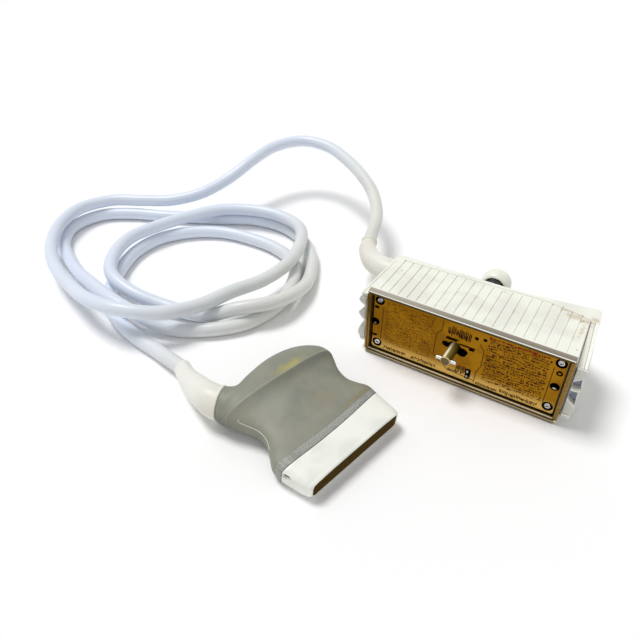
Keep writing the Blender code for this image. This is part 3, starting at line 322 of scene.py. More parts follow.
def moulded_abs(name, colour, roughness, stains_and_painted_light=False):
    """Injection-moulded ABS: even, satin, with a fine spark-eroded grain of 0.3 mm."""
    made, tree, shader = new_material(name, colour, roughness)
    place = object_place(tree)
    x, y, z = node(tree, "SeparateXYZ", {"Vector": place}).outputs
    cloud = node(tree, "TexNoise", {"Vector": place, "Scale": 0.05, "Detail": 3.0})
    base = layer(tree, colour, darker(colour, 0.955), (cloud, 0.42, 0.62))
    if stains_and_painted_light:
        # Tan handling marks at the rear corner, and a few dark specks
        for centre, radii, tone, weight in (
                ((51.0, 13.2, 48.0), (8.0, 3.2, 6.0), "C6B288", 0.60),
                ((57.0, 11.2, 48.0), (4.4, 2.2, 6.0), "A68C62", 0.75),
                ((45.0, 16.2, 48.0), (5.4, 1.3, 6.0), "BDA67A", 0.65),
                ((60.4, 15.6, 48.0), (2.8, 2.6, 6.0), "C6B288", 0.60),
                ((56.3, 3.0, 47.0), (1.5, 9.0, 6.0), "C8B58C", 0.55),
                ((-3.0, 2.0, 48.0), (3.0, 2.6, 6.0), "C9C2B0", 0.35),
                ((20.0, 0.0, 48.0), (2.6, 3.0, 6.0), "CDC6B6", 0.35)):
            base = layer(tree, base, tone, weight, blot(tree, place, centre, radii, 0.55, 2.4))
        for spot in ((9.8, 15.6, 48.0), (57.5, -15.0, 48.0), (-51.0, 4.5, 48.0)):
            speck = blot(tree, place, spot, (0.7, 0.55, 2.0), 0.1, 0.8)
            base = layer(tree, base, "6E665C", 0.8, speck)
        # Painted shade on the sloping front edge, lighter to the left, with painted highlights
        # near its foot and at its top edge and a painted shadow line along its lowest part
        band = stripes(tree, y, -24.0, -20.1, [
            (0.0, "F2F0E8"), (0.10, "EDEAE0"), (0.16, "6C6556"), (0.30, "827A6B"),
            (0.52, "7A7264"), (0.60, "8E8676"), (0.90, "90897A"), (0.95, "FFFFFA"),
            (1.0, "F4F4EC")])
        band = layer(tree, band, "D2CCBC", 0.35, (x, 10.0, -50.0))
        band = layer(tree, band, "4A4334", (z, 47.02, 46.92))
        base = layer(tree, base, band, (y, -20.05, -20.2), (z, 46.1, 46.3))
        # Right ledge: painted shadow at the foot of the ribs, painted highlight on their edge, a
        # darker ledge and rim line, and a painted highlight on the outer edge
        foot = along(tree, place, (1.0, 0.0507, 0.0), -1.039)
        rim = along(tree, place, (1.0, 0.089, 0.0), -1.744)
        for value, low, high, tone, weight in (
                (foot, 60.2, 60.75, "857C6C", 0.9), (foot, 60.8, 68.0, "E4E2D6", 0.7),
                (rim, 63.75, 64.05, "A59F8F", 0.8), (rim, 64.2, 68.0, "FAFAF4", 0.9),
                (foot, 59.5, 60.1, "FFFFFA", 1.0)):
            base = layer(tree, base, tone, weight, (z, 35.0, 36.0), (y, 13.4, 13.0),
                         *between(value, low, high))
    # Painted shade darkens the narrow front wall beside the gold shell
    reach = node(tree, "Math", {0: x}, operation="ABSOLUTE")
    base = layer(tree, base, "5E564A", 0.85, *between(reach, 59.9, 60.9), (y, -19.9, -20.2),
                 (z, 42.0, 41.0))
    grain = node(tree, "TexNoise", {"Vector": place, "Scale": 3.2, "Detail": 2.0})
    finish(tree, shader, base, grain, 0.10, 0.00012)
    return made


def elastomer(name, colour, roughness, soiled, cool=None):
    """Extruded or moulded elastomer: smooth, with a soft sheen, faint yellowing and a grain of
    0.6 mm. A cool tone, where given, is a painted bluish sky reflection that comes in towards -X."""
    made, tree, shader = new_material(name, colour, roughness, Sheen_Weight=0.08)
    place = object_place(tree)
    cloud = node(tree, "TexNoise", {"Vector": place, "Scale": 0.028, "Detail": 4.0})
    base = layer(tree, colour, soiled, (cloud, 0.40, 0.66))
    # Painted bluish sky reflection, stronger towards -X
    if cool:
        base = layer(tree, base, cool, (along(tree, place, (1.0, 0.0, 0.0)), -110.0, -220.0))
    fine = node(tree, "TexNoise", {"Vector": place, "Scale": 1.6, "Detail": 2.0})
    finish(tree, shader, base, fine, 0.06, 0.0002)
    return made


def grip_elastomer(colour, band_width):
    """Grey overmoulded elastomer: matte, with a grain of 0.4 mm, a cooler smooth band by the
    nose, a yellow stain behind the crease and a painted highlight in the hollow."""
    made, tree, shader = new_material("overmoulded_grip_elastomer", colour, 0.52)
    place = object_place(tree)
    head = node(tree, "Mapping", {
        "Vector": place, "Location": tuple(HEAD_PLACE / MM), "Rotation": tuple(HEAD_TURN)},
        vector_type="TEXTURE")
    x, y, z = node(tree, "SeparateXYZ", {"Vector": head}).outputs
    cloud = node(tree, "TexNoise", {"Vector": head, "Scale": 0.06, "Detail": 5.0,
                                    "Roughness": 0.6})
    base = layer(tree, colour, "7F8174", (cloud, 0.35, 0.68))
    # Painted highlight on the near part of the hollow
    dish_highlight = blot(tree, head, (-49.0, -14.0, 9.0), (12.0, 16.0, 12.0), 0.3, 6.0)
    base = layer(tree, base, "9C9D92", 0.55, dish_highlight)
    for centre, radii, tone, weight in (
            ((-20.0, 14.0, 7.0), (6.0, 30.0, 6.0), "7A7C72", 0.45),
            ((-60.6, 9.0, 12.0), (3.6, 14.0, 6.0), "A39D62", 0.80),
            ((-60.2, 12.0, 12.0), (2.2, 7.0, 6.0), "B0A95C", 0.50),
            ((-61.5, 24.0, 12.0), (4.0, 8.0, 6.0), "939272", 0.40),
            ((-33.0, 10.0, 7.0), (7.0, 15.0, 6.0), "8D8468", 0.40),
            ((-22.0, 24.0, 7.0), (2.2, 16.0, 6.0), "847A52", 0.65)):
        base = layer(tree, base, tone, weight, blot(tree, head, centre, radii, 0.4, 3.4))
    # The crease shades the hollow in front of it, most on the far side, and catches light
    crease = along(tree, head, (-1.0, 0.044, 0.0), 58.8)
    base = layer(tree, base, "63655A", 0.62, (crease, -8.0, -0.8), (crease, 0.3, -0.2),
                 (y, -34.0, 12.0))
    base = layer(tree, base, "A8A998", 0.25, (crease, -0.2, 0.2), (crease, 1.6, 0.4))
    # Painted shade darkens the underside of the tail, near the floor
    base = layer(tree, base, "43443C", 0.62, (z, 5.0, -2.0), (x, -46.0, -70.0))
    # Band of fine cross dots, 0.9 mm apart, between the nose and the grip. Its rear edge is a
    # bowed groove.
    bow = node(tree, "Math", {0: y, 1: y}, operation="MULTIPLY")
    bow = node(tree, "Math", {0: bow, 1: 1.9 / 37.0 ** 2, 2: 15.4 + band_width / MM},
               operation="MULTIPLY_ADD")
    ahead = node(tree, "Math", {0: x, 1: bow}, operation="ADD")
    dots = node(tree, "TexVoronoi", {"Vector": head, "Scale": 1.1, "Randomness": 0.35})
    dotted = layer(tree, "868880", "B4B6B0", 0.8, (dots, 0.55, 0.2))
    base = layer(tree, base, dotted, (ahead, -0.15, 0.15))
    grain = node(tree, "TexNoise", {"Vector": head, "Scale": 2.4, "Detail": 3.0})
    off = node(tree, "Math", {0: ahead}, operation="ABSOLUTE")
    height = node(tree, "Math", {0: grain, 1: 0.25, 2: meet(tree, -1.0, (off, 0.5, 0.0))},
                  operation="MULTIPLY_ADD")
    finish(tree, shader, base, height, 0.25, 0.0003)
    return made


def plated_brass(name, colour, roughness, bands=(), metallic=0.8):
    """Yellow-chromated or gold-plated metal: warm, with soft brushing along X. A band holds the
    axis and ends of its painted stripes of highlight and shade, the stripes, and the ranges where
    it shows."""
    made, tree, shader = new_material(name, colour, roughness)
    place = object_place(tree)
    # Real brushing is finer than 0.1 mm; it is drawn 1.4 mm wide and 20 mm long, so that it shows
    streak = node(tree, "Mapping", {"Vector": place, "Scale": (0.05, 0.7, 0.7)})
    brush = node(tree, "TexNoise", {"Vector": streak, "Scale": 1.0, "Detail": 2.0})
    base = layer(tree, colour, darker(colour, 0.90), (brush, 0.40, 0.62))
    axes = node(tree, "SeparateXYZ", {"Vector": place}).outputs
    for axis, low, high, stops, ranges in bands:
        zone = meet(tree, *((axes[other], start, end) for other, start, end in ranges))
        base = layer(tree, base, stripes(tree, axes[axis], low, high, stops), zone)
        duller = node(tree, "Math", {0: zone, 1: -0.8, 2: 1.0}, operation="MULTIPLY_ADD")
        metallic = meet(tree, metallic, duller)
    feed(tree, shader, {"Metallic": metallic})
    finish(tree, shader, base, brush, 0.03, 0.0001)
    return made


def contact_plating(colour):
    """Gold flash over a laminate: half metal, half lacquer, with a painted reflection that makes
    it brighter towards the lower edge, and the laminate's weave of 0.9 mm just showing."""
    made, tree, shader = new_material("gold_flashed_laminate", colour, 0.40,
                                      Specular_IOR_Level=0.04)
    place = object_place(tree)
    low = (along(tree, place, (0.0, 0.0, 1.0)), 14.0, 3.5)
    cloud = node(tree, "TexNoise", {"Vector": place, "Scale": 0.09, "Detail": 4.0})
    base = layer(tree, colour, "9E6C0A", (cloud, 0.38, 0.66))
    # Painted reflection: brighter and more metallic towards the lower edge
    base = layer(tree, base, "FCD276", 0.95, low)
    feed(tree, shader, {"Metallic": meet(tree, 0.30, low)})
    fine = node(tree, "TexNoise", {"Vector": place, "Scale": 1.1, "Detail": 2.0})
    finish(tree, shader, base, fine, 0.12, 0.0002)
    return made


def plain(name, colour, roughness, metallic=0.0, grain=1.5, depth=0.05, **sockets):
    """A plain finish with a fine surface grain, its scale in marks per millimetre."""
    made, tree, shader = new_material(name, colour, roughness, metallic, **sockets)
    place = object_place(tree)
    noise = node(tree, "TexNoise", {"Vector": place, "Scale": grain, "Detail": 2.0})
    base = layer(tree, colour, darker(colour, 0.88), (noise, 0.40, 0.64))
    finish(tree, shader, base, noise, depth, 0.0001)
    return made


# Modelling

def clear():
    """Leave edit mode and select nothing."""
    if bpy.context.object and bpy.context.object.mode != "OBJECT":
        bpy.ops.object.mode_set(mode="OBJECT")
    bpy.ops.object.select_all(action="DESELECT")


def pick(piece):
    """Select one object alone and make it active."""
    clear()
    piece.select_set(True)
    bpy.context.view_layer.objects.active = piece


def new_piece(name, data):
    """Add an object with its data."""
    piece = bpy.data.objects.new(name, data)
    bpy.context.scene.collection.objects.link(piece)
    return piece


def bake(piece, smooth=None):
    """Apply modifiers and place, then shade smooth up to an angle in degrees."""
    pick(piece)
    for change in list(piece.modifiers):
        bpy.ops.object.modifier_apply(modifier=change.name)
    bpy.ops.object.transform_apply(location=True, rotation=True, scale=True)
    if smooth is not None:
        bpy.ops.object.shade_smooth_by_angle(angle=math.radians(smooth))
    return piece


def bake_on_head(piece, smooth=None):
    """Move a piece from the head's own frame to its place and apply it."""
    piece.matrix_world = HEAD_MATRIX
    bake(piece, smooth)


def place_piece(piece, surface, slot, *replaced, body="probe"):
    """Give a piece its material, body and the nodes that it stands for; its slot is not used."""
    piece.data.materials.clear()
    piece.data.materials.append(surface)
    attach(piece, body)
    if replaced:
        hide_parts(*replaced)


def edit(piece):
    """Enter edit mode on one object with all of it selected."""
    pick(piece)
    bpy.ops.object.mode_set(mode="EDIT")
    bpy.ops.mesh.select_all(action="SELECT")


def clean_shell(piece):
    """Merge doubles and point all faces outwards."""
    edit(piece)
    bpy.ops.mesh.remove_doubles(threshold=DOUBLES)
    bpy.ops.mesh.normals_make_consistent(inside=False)
    bpy.ops.object.mode_set(mode="OBJECT")


def round_edges(piece, width, segments, angle=30):
    """Round the edges that are sharper than an angle in degrees."""
    rounding = piece.modifiers.new("edges", "BEVEL")
    rounding.width = width
    rounding.segments = segments
    rounding.limit_method = "ANGLE"
    rounding.angle_limit = math.radians(angle)


def carve(piece, cutter):
    """Cut one piece with another, which is removed."""
    cut = piece.modifiers.new("cut", "BOOLEAN")
    cut.object = cutter
    cut.solver = "EXACT"
    bake(piece)
    bpy.data.objects.remove(cutter, do_unlink=True)


def node_copy(source, name, edge, segments=2, smooth=32, angle=30):
    """A merged copy of a CAD node with its edges rounded."""
    piece = new_piece(name, frame["nodes"][source].data.copy())
    edit(piece)
    bpy.ops.mesh.remove_doubles(threshold=DOUBLES)
    bpy.ops.mesh.dissolve_limited(angle_limit=math.radians(0.5))
    bpy.ops.object.mode_set(mode="OBJECT")
    round_edges(piece, edge, segments, angle)
    bake(piece, smooth)
    level = piece.modifiers.new("flat_faces", "WEIGHTED_NORMAL")
    level.keep_sharp = True
    level.weight = 60
    return bake(piece)


def grid_surface(name, columns, rows, place):
    """A grid primitive whose points are moved to place(u, v), both from 0 to 1."""
    clear()
    bpy.ops.mesh.primitive_grid_add(x_subdivisions=columns, y_subdivisions=rows, size=1.0,
                                    location=(0, 0, 0))
    piece = bpy.context.object
    piece.name = name
    for point in piece.data.vertices:
        point.co = place(point.co.x + 0.5, point.co.y + 0.5)
    return piece


def spun(name, profile, place, steps=64):
    """A turned piece about the line through place along Y. The profile holds (radius, y)."""
    clear()
    bpy.ops.mesh.primitive_plane_add(size=0.001, location=(0, 0, 0))
    piece = bpy.context.object
    piece.name = name
    mesh = piece.data
    mesh.clear_geometry()
    mesh.from_pydata([(radius, along_axis, 0.0) for radius, along_axis in profile],
                     [(i, i + 1) for i in range(len(profile) - 1)], [])
    edit(piece)
    bpy.ops.mesh.spin(steps=steps, angle=2 * math.pi, center=(0, 0, 0), axis=(0, 1, 0))
    clean_shell(piece)
    piece.location = place
    return piece


def smooth_curve(points, steps=10):
    """Points on a smooth curve through the given points."""
    ends = [2 * points[0] - points[1], *points, 2 * points[-1] - points[-2]]
    curve = []
    for i in range(1, len(ends) - 2):
        a, b, c, d = ends[i - 1:i + 3]
        for step in range(steps):
            t = step / steps
            curve.append(0.5 * (2 * b + (c - a) * t + (2 * a - 5 * b + 4 * c - d) * t * t
                                + (3 * b - a - 3 * c + d) * t ** 3))
    curve.append(points[-1])
    return curve


def even_points(curve, count):
    """The given number of points, evenly spaced along a curve."""
    lengths = [0.0]
    for first, second in zip(curve, curve[1:]):
        lengths.append(lengths[-1] + (second - first).length)
    result = []
    k = 0
    for i in range(count):
        wanted = lengths[-1] * i / (count - 1)
        while k < len(lengths) - 2 and lengths[k + 1] < wanted:
            k += 1
        span = lengths[k + 1] - lengths[k]
        result.append(curve[k].lerp(curve[k + 1], (wanted - lengths[k]) / span))
    return result


def swept(name, points, radii, sides=6):
    """A round tube along points, as a closed mesh."""
    clear()
    data = bpy.data.curves.new(name, "CURVE")
    data.dimensions = "3D"
    data.bevel_depth = 1.0
    data.bevel_resolution = sides
    data.use_fill_caps = True
    spline = data.splines.new("POLY")
    spline.points.add(len(points) - 1)
    for knot, point, radius in zip(spline.points, points, radii):
        knot.co = (*point, 1.0)
        knot.radius = radius
    pick(new_piece(name, data))
    bpy.ops.object.convert(target="MESH")
    piece = bpy.context.object
    clean_shell(piece)
    return bake(piece, 50)


def thread(name, points, radius, count=60):
    """A thin round line through points."""
    return swept(name, even_points(smooth_curve(points), count), [radius * MM] * count, 4)


def plates(name, outlines, lift=0.06, back=0.05):
    """Flat plates on the board's face, from its lift in front of the face to its back behind the
    face; each outline holds (x, z) in millimetres."""
    points = []
    faces = []
    for outline in outlines:
        start, count = len(points), len(outline)
        for y in (PLATE_FRONT - lift * MM, PLATE_FRONT + back * MM):
            points += [(x * MM, y, z * MM) for x, z in outline]
        faces.append([start + i for i in range(count)])
        faces.append([start + count + i for i in reversed(range(count))])
        for i in range(count):
            k = (i + 1) % count
            faces.append([start + k, start + i, start + count + i, start + count + k])
    mesh = bpy.data.meshes.new(name)
    mesh.from_pydata(points, [], faces)
    piece = new_piece(name, mesh)
    clean_shell(piece)
    return piece


def oblong(x0, z0, x1, z1):
    """The outline of an upright rectangle."""
    return [(x0, z0), (x1, z0), (x1, z1), (x0, z1)]


def disc(x, z, wide, high=None, steps=20):
    """The outline of an ellipse."""
    turns = [2 * math.pi * i / steps for i in range(steps)]
    return [(x + wide * math.cos(turn), z + (high or wide) * math.sin(turn)) for turn in turns]


def tracks(points, width):
    """Strips of one width along a broken line."""
    strips = []
    for (x0, z0), (x1, z1) in zip(points, points[1:]):
        reach = math.hypot(x1 - x0, z1 - z0)
        ux, uz = (x1 - x0) / reach * width / 2, (z1 - z0) / reach * width / 2
        strips.append([(x0 - ux + uz, z0 - uz - ux), (x1 + ux + uz, z1 + uz - ux),
                       (x1 + ux - uz, z1 + uz + ux), (x0 - ux - uz, z0 - uz + ux)])
    return strips


def cable_line():
    """The cable's own line, in metres."""
    return even_points(smooth_curve([Vector(point) * MM for point in CABLE_ROUTE]), 640)


def station_at(v):
    """The handle's station at a share of its row, smoothly between the given ones."""
    last = len(HANDLE_STATIONS) - 1
    t = v * last
    k = min(int(t), last - 1)
    t -= k
    flat = [[*s[0], *s[1], *s[2:]] for s in HANDLE_STATIONS]
    b, c = flat[k], flat[k + 1]
    values = []
    for i, (before, after) in enumerate(zip(flat[max(k - 1, 0)], flat[min(k + 2, last)])):
        if i == THICKNESS and k == CREASE - 1:
            after = 2 * c[i] - b[i]
        if i == THICKNESS and k == CREASE:
            before = 2 * b[i] - c[i]
        values.append(0.5 * (2 * b[i] + (c[i] - before) * t
                             + (2 * before - 5 * b[i] + 4 * c[i] - after) * t * t
                             + (3 * b[i] - before - 3 * c[i] + after) * t ** 3))
    return values


def squared(angle, power):
    """The cosine and sine of an angle on a circle that is drawn towards a square."""
    return [math.copysign(abs(value) ** power, value)
            for value in (math.cos(angle), math.sin(angle))]


def section_point(values, angle, gap=0.0):
    """A point of the handle's section at an angle, in the head's own frame."""
    near_a, near_b, far_a, far_b, height, bow, power = values
    share, rise = squared(angle, 2 / power)
    a = near_a + (far_a - near_a) * (share + 1) / 2 + bow * (share * share - 1) + gap
    b = near_b + (far_b - near_b) * (share + 1) / 2
    return Vector((-a, b, height * rise)) * MM


def contact_marks():
    """A generic field of contact marks: dark, red and faint outlines for plates."""
    dice = random.Random(11)
    dark, reds, faint = [], [], []
    # Rows of short dashes with small cross strokes, left and right of the lock
    for left, right, pitch, weight in ((-49.0, -17.2, 1.75, 0.95), (14.0, 48.6, 1.8, 1.45)):
        row = 0
        z = 40.6
        while z > 9.6:
            x = left + dice.uniform(0.0, 1.2)
            wave = dice.uniform(0.0, 6.0)
            while x < right - 0.8:
                run = dice.choice((0.4, 0.7, 1.3, 2.2))
                rise = dice.choice((0.26, 0.36, 0.62)) * weight
                level = z + 0.35 * math.sin(0.5 * x + wave) + dice.uniform(-0.3, 0.3)
                field = dark if left > 0 else faint
                if row == 0 and left > 0:
                    field, rise = reds, rise * 2.0
                if dice.random() < 0.92:
                    field.append(oblong(x, level - rise / 2, min(x + run, right),
                                        level + rise / 2))
                if dice.random() < 0.42 * weight:
                    field.append(oblong(x + 0.3 * run, level - 0.75, x + 0.3 * run + 0.24,
                                        level + 0.75))
                x += run + dice.choice((0.2, 0.3, 0.5, 0.9))
            z -= pitch
            row += 1
    # Combs above and below the lock, and along the bright lower edge
    for left, right, low, high, step in (
            (-9.4, 4.6, 32.6, 40.4, 0.95), (-8.8, 4.0, 32.2, 37.4, 1.3),
            (-1.2, 4.4, 7.2, 14.4, 0.8), (-6.2, 0.0, 6.4, 9.0, 0.7),
            (-48.2, -34.0, 4.6, 7.6, 0.8), (-29.6, -14.0, 4.4, 7.6, 0.85),
            (11.8, 24.0, 3.9, 6.2, 0.8), (26.0, 47.5, 4.2, 7.4, 0.85)):
        x = left
        while x < right:
            foot = low + (high - low) * dice.uniform(0.0, 0.45)
            head = high - (high - low) * dice.uniform(0.0, 0.3)
            dark.append(oblong(x, foot, x + 0.52, head))
            if dice.random() < 0.5:
                level = dice.uniform(foot, head)
                dark.append(oblong(x, level, x + step, level + 0.3))
            x += step * dice.uniform(0.8, 1.25)
    for line in ([(-12.8, 41.2), (-13.1, 34.4), (-15.9, 30.8), (-16.1, 15.0), (-11.4, 11.0)],
                 [(10.0, 34.0), (11.2, 31.8), (12.8, 29.6), (12.8, 18.4), (10.7, 13.2),
                  (10.5, 5.4)],
                 [(-50.2, 36.5), (-50.9, 11.0)], [(50.2, 36.0), (50.0, 9.6)],
                 [(-10.4, 11.6), (-6.6, 7.0), (10.2, 6.2)]):
        dark += tracks(line, 0.38)
    return dark, reds, faint


# Operators

class PROBE_OT_stage(bpy.types.Operator):
    """Make the floor, the lights and the camera"""
    bl_idname = "probe.stage"
    bl_label = "Stage"

    def execute(self, context):
        settings = context.scene.probe_stage
        clear()
        bpy.ops.mesh.primitive_plane_add(size=settings.floor_size, location=(0, 0, 0))
        floor = context.object
        floor.name = "floor"
        paper = new_material("white_seamless_paper", "FFFFFF", 0.9, Specular_IOR_Level=0.1)[0]
        floor.data.materials.append(paper)

        world = bpy.data.worlds.new("white_surround")
        world.use_nodes = True
        context.scene.world = world
        tree = world.node_tree
        rays = node(tree, "LightPath").outputs
        seen = node(tree, "Math", {0: rays["Is Glossy Ray"], 1: rays["Is Transmission Ray"]},
                    operation="MAXIMUM")
        seen = node(tree, "Math", {0: rays["Is Camera Ray"], 1: seen}, operation="MAXIMUM")
        strength = node(tree, "Math", {0: seen, 1: 1.0 - settings.ambient, 2: settings.ambient},
                        operation="MULTIPLY_ADD")
        feed(tree, tree.nodes["Background"], {"Color": "FFFFFF", "Strength": strength})

        # The main light stands high on the left, so shadows fall to the right; the fill is soft
        for name, strength, spread, way in (
                ("key", settings.key, 22, (0.56, -0.04, -1.25)),
                ("fill", settings.fill, 75, (-0.60, 0.60, -0.55))):
            light = bpy.data.lights.new(name, "SUN")
            light.energy = strength
            light.angle = math.radians(spread)
            lamp = new_piece(name, light)
            lamp.rotation_euler = Vector(way).to_track_quat("-Z", "Y").to_euler()

        view = bpy.data.cameras.new("camera")
        view.sensor_width = 36.0
        view.lens = 33.75
        view.clip_start = 0.01
        camera = new_piece("camera", view)
        camera.location = CAMERA_PLACE
        camera.rotation_euler = CAMERA_TURN
        context.scene.camera = camera
        context.scene.view_settings.view_transform = "Standard"
        return {"FINISHED"}


class PROBE_OT_cable(bpy.types.Operator):
    """Lay the cable"""
    bl_idname = "probe.cable"
    bl_label = "Cable"

    def execute(self, context):
        settings = context.scene.probe_cable
        line = cable_line()
        cable = swept("cable_jacket", line, [settings.diameter / 2] * len(line), 8)
        # The cool tone given last is a painted bluish sky reflection on the jacket
        surface = elastomer("extruded_cable_elastomer", settings.jacket, 0.36, "DADBD4", "DEE6F4")
        place_piece(cable, surface, "cable_jacket", "cable")
        return {"FINISHED"}


class PROBE_OT_reliefs(bpy.types.Operator):
    """Make the strain reliefs at both ends of the cable"""
    bl_idname = "probe.reliefs"
    bl_label = "Strain reliefs"

    def execute(self, context):
        settings = context.scene.probe_cable
        surface = elastomer("moulded_relief_elastomer", settings.relief, 0.42, "E3E0D2")
        line = cable_line()
        gap = 0.3 * MM
        start_way = (line[8] - line[0]).normalized()
        end_way = (line[-1] - line[-9]).normalized()

        # Elbow at the connector: it narrows from the wall and ends in a ring round the cable
        root = Vector((-59.2, 32.2, 24.7))
        tip = line[0] - gap * start_way
        bends = [(root + Vector(step)) * MM for step in (
            (13.9, 0, 0), (0, 0, 0), (-8.0, 0, 0), (-16.5, 0.4, 0), (-27.8, 5.5, 0),
            (-36.6, 15.0, 0))]
        core = even_points(smooth_curve(
            bends + [tip - 0.006 * start_way, tip - 0.0024 * start_way]), 60)
        radii = [8.6 - 3.2 * max(i - 24, 0) / 35 for i in range(60)]
        ring = ((2.1, 5.3), (2.0, 5.65), (1.8, 5.8), (0.5, 5.8), (0.1, 5.6), (0.0, 5.2))
        core += [tip - depth * MM * start_way for depth, radius in ring]
        radii += [radius for depth, radius in ring]
        elbow = swept("elbow_relief", core, [radius * MM for radius in radii], 12)
        place_piece(elbow, surface, "relief_elastomer", "connector_strain_relief")

        # Boot at the head: a rim at the handle's tail, then a long taper
        near, far = HANDLE_STATIONS[-1][:2]
        tail = Vector((-(near[0] + far[0]) / 2, (near[1] + far[1]) / 2, 0)) * MM
        way = Vector((near[1] - far[1], near[0] - far[0], 0)).normalized()
        to_head = HEAD_MATRIX.inverted()
        end = to_head @ (line[-1] + gap * end_way)
        boot_way = (to_head.to_3x3() @ end_way).normalized()
        first = tail + gap * way
        core = even_points(smooth_curve([
            first + 0.0028 * way, first + 0.0070 * way + Vector((-0.0007, 0.0010, 0)),
            Vector((-0.0908, -0.0306, -0.0038)), Vector((-0.1058, -0.0278, -0.0079)),
            end + 0.0010 * boot_way]), 56)
        shape = smooth_curve([Vector((radius, 0, 0)) for radius in (
            9.8, 9.2, 8.8, 8.45, 8.0, 7.5, 6.9, 6.3, 5.8, 5.45, 5.2)])
        radii = [even.x for even in even_points(
            [Vector((p.x, i * 0.35, 0)) for i, p in enumerate(shape)], 56)]
        rim = ((0.0, 9.7), (0.3, 10.1), (1.1, 10.15), (1.4, 9.95), (1.8, 9.9))
        core = ([first + depth * MM * way for depth, radius in rim] + core
                + [end + 0.0003 * boot_way, end])
        radii = [radius for depth, radius in rim] + radii + [5.1, 4.9]
        boot = swept("head_relief", core, [radius * MM for radius in radii], 14)
        bake_on_head(boot, 50)
        place_piece(boot, surface, "relief_elastomer", "probe_strain_relief")
        return {"FINISHED"}


class PROBE_OT_handle(bpy.types.Operator):
    """Shape the grey grip of the head"""
    bl_idname = "probe.handle"
    bl_label = "Handle"

    def execute(self, context):
        settings = context.scene.probe_head
        around, rows = 144, 150

        def place(u, v):
            return section_point(station_at(v), 2 * math.pi * u, 0.15 if v == 0 else 0.0)

        grip = grid_surface("grip_sleeve", around, rows, place)
        clean_shell(grip)
        wall = grip.modifiers.new("wall", "SOLIDIFY")
        wall.thickness = settings.wall
        wall.offset = -1.0
        bake(grip)
        bake_on_head(grip, 20)
        surface = grip_elastomer(settings.grip, settings.band)
        place_piece(grip, surface, "grip_grey", "handle_upper", "handle_lower")

        # A lip runs along the waist on the near side and hooks up at its rear end; its light
        # colour is a painted highlight
        path = []
        for row, level in ((3.2, 3.0), (3.8, 3.0), (4.4, 3.1), (5.0, 3.2), (5.6, 3.3), (6.0, 3.7),
                           (6.15, 4.5), (6.1, 5.1)):
            values = station_at(row / (len(HANDLE_STATIONS) - 1))
            share = (level / values[THICKNESS]) ** (values[SQUARENESS] / 2)
            path.append(section_point(values, math.pi - math.asin(share)))
        lip = thread("groove_lip", path, 0.23)
        bake_on_head(lip)
        place_piece(lip, elastomer("lip_elastomer_painted_highlight", "CCCDC2", 0.4, "B8B9AC"), "grip_grey")
        return {"FINISHED"}


class PROBE_OT_nose(bpy.types.Operator):
    """Shape the white nose and its lens"""
    bl_idname = "probe.nose"
    bl_label = "Nose"

    def execute(self, context):
        settings = context.scene.probe_head
        around = 160
        angles = [2 * math.pi * k / around for k in range(around)]
        joint = [section_point(station_at(0.0), angle, -0.15) / MM for angle in angles]
        width, height = 34.9, 6.3
        slot_x, slot_z, slot_rise = 32.2, 4.9, 0.35
        wall = 1.4

        def section(depth, inset, x=None, ends=None):
            """A ring from the face at depth 0 to the joint at depth 1; the ends may be drawn in
            by another amount."""
            ends = inset if ends is None else ends
            ring = []
            for angle, back in zip(angles, joint):
                share, rise = squared(angle, 0.4)
                y = (1 - depth) * width * share + depth * back.y - ends * share
                z = (1 - depth) * height * rise + depth * back.z - inset * rise
                ring.append(Vector((back.x * depth if x is None else x, y, z)) * MM)
            return ring

        def slot(x, grow):
            """A ring of the lens window."""
            turns = [squared(angle, 0.15) for angle in angles]
            return [Vector((x, (slot_x + grow) * share, slot_rise + (slot_z + grow) * rise)) * MM
                    for share, rise in turns]

        def skin(name, rings, closed):
            """Skin rings with the grid primitive's quads."""
            rows = len(rings) if closed else len(rings) - 1

            def place(u, v):
                return rings[round(v * rows) % len(rings)][round(u * around) % around]

            piece = grid_surface(name, around, rows, place)
            if not closed:
                edit(piece)
                bpy.ops.mesh.remove_doubles(threshold=DOUBLES)
                bpy.ops.mesh.select_all(action="DESELECT")
                bpy.ops.mesh.select_non_manifold()
                bpy.ops.mesh.edge_face_add()
                bpy.ops.object.mode_set(mode="OBJECT")
            clean_shell(piece)
            return piece

        # The front edge is rounded more at the ends than along the long sides
        rings = []
        radius, end_radius = 0.9, 2.3
        for i in range(9):
            turn = math.pi / 2 * i / 8
            x = -end_radius * (1 - math.cos(turn))
            left = max(1 + x / radius, 0.0)
            rings.append(section(0.0, radius * (1 - math.sqrt(1 - left * left)), x,
                                 end_radius * (1 - math.sin(turn))))
        start, end = 0.13, 0.985
        rings += [section(start + (end - start) * i / 12, 0.0) for i in range(1, 13)]
        rings += [section(1.0, 0.15), section(1.0, wall), section(0.3, wall),
                  section(0.0, wall, -2.7), slot(-2.7, 0.0), slot(-0.25, 0.0), slot(0.0, 0.25)]
        nose = skin("nose_cap", rings, True)
        # Orientation mark: a small rounded notch on the near side
        clear()
        bpy.ops.mesh.primitive_cube_add(size=1.0, location=(-0.0136, -0.0380, 0.0026))
        notch = context.object
        notch.scale = (0.0052, 0.0044, 0.0030)
        bpy.ops.object.transform_apply(location=True, rotation=True, scale=True)
        round_edges(notch, 0.0012, 4)
        bake(notch)
        carve(nose, notch)
        bake_on_head(nose, 35)
        surface = moulded_abs("polished_nose_abs", settings.nose, 0.26)
        place_piece(nose, surface, "nose_white", "nose_shell")

        domes = [i / 6 for i in range(7)]
        rings = [slot(0.30 * (1 - share ** 2.2), -4.8 + 4.55 * share) for share in domes]
        lens = skin("lens_strip", rings + [slot(-0.15, -0.25), slot(-2.4, -0.25)], False)
        bake_on_head(lens, 35)
        # Cast silicone: dark brown and nearly without shine
        surface = plain("cast_lens_silicone", settings.lens, 0.6, 0.0, 0.8, 0.06,
                        Specular_IOR_Level=0.02)
        place_piece(lens, surface, "lens_silicone", "acoustic_lens")
        return {"FINISHED"}


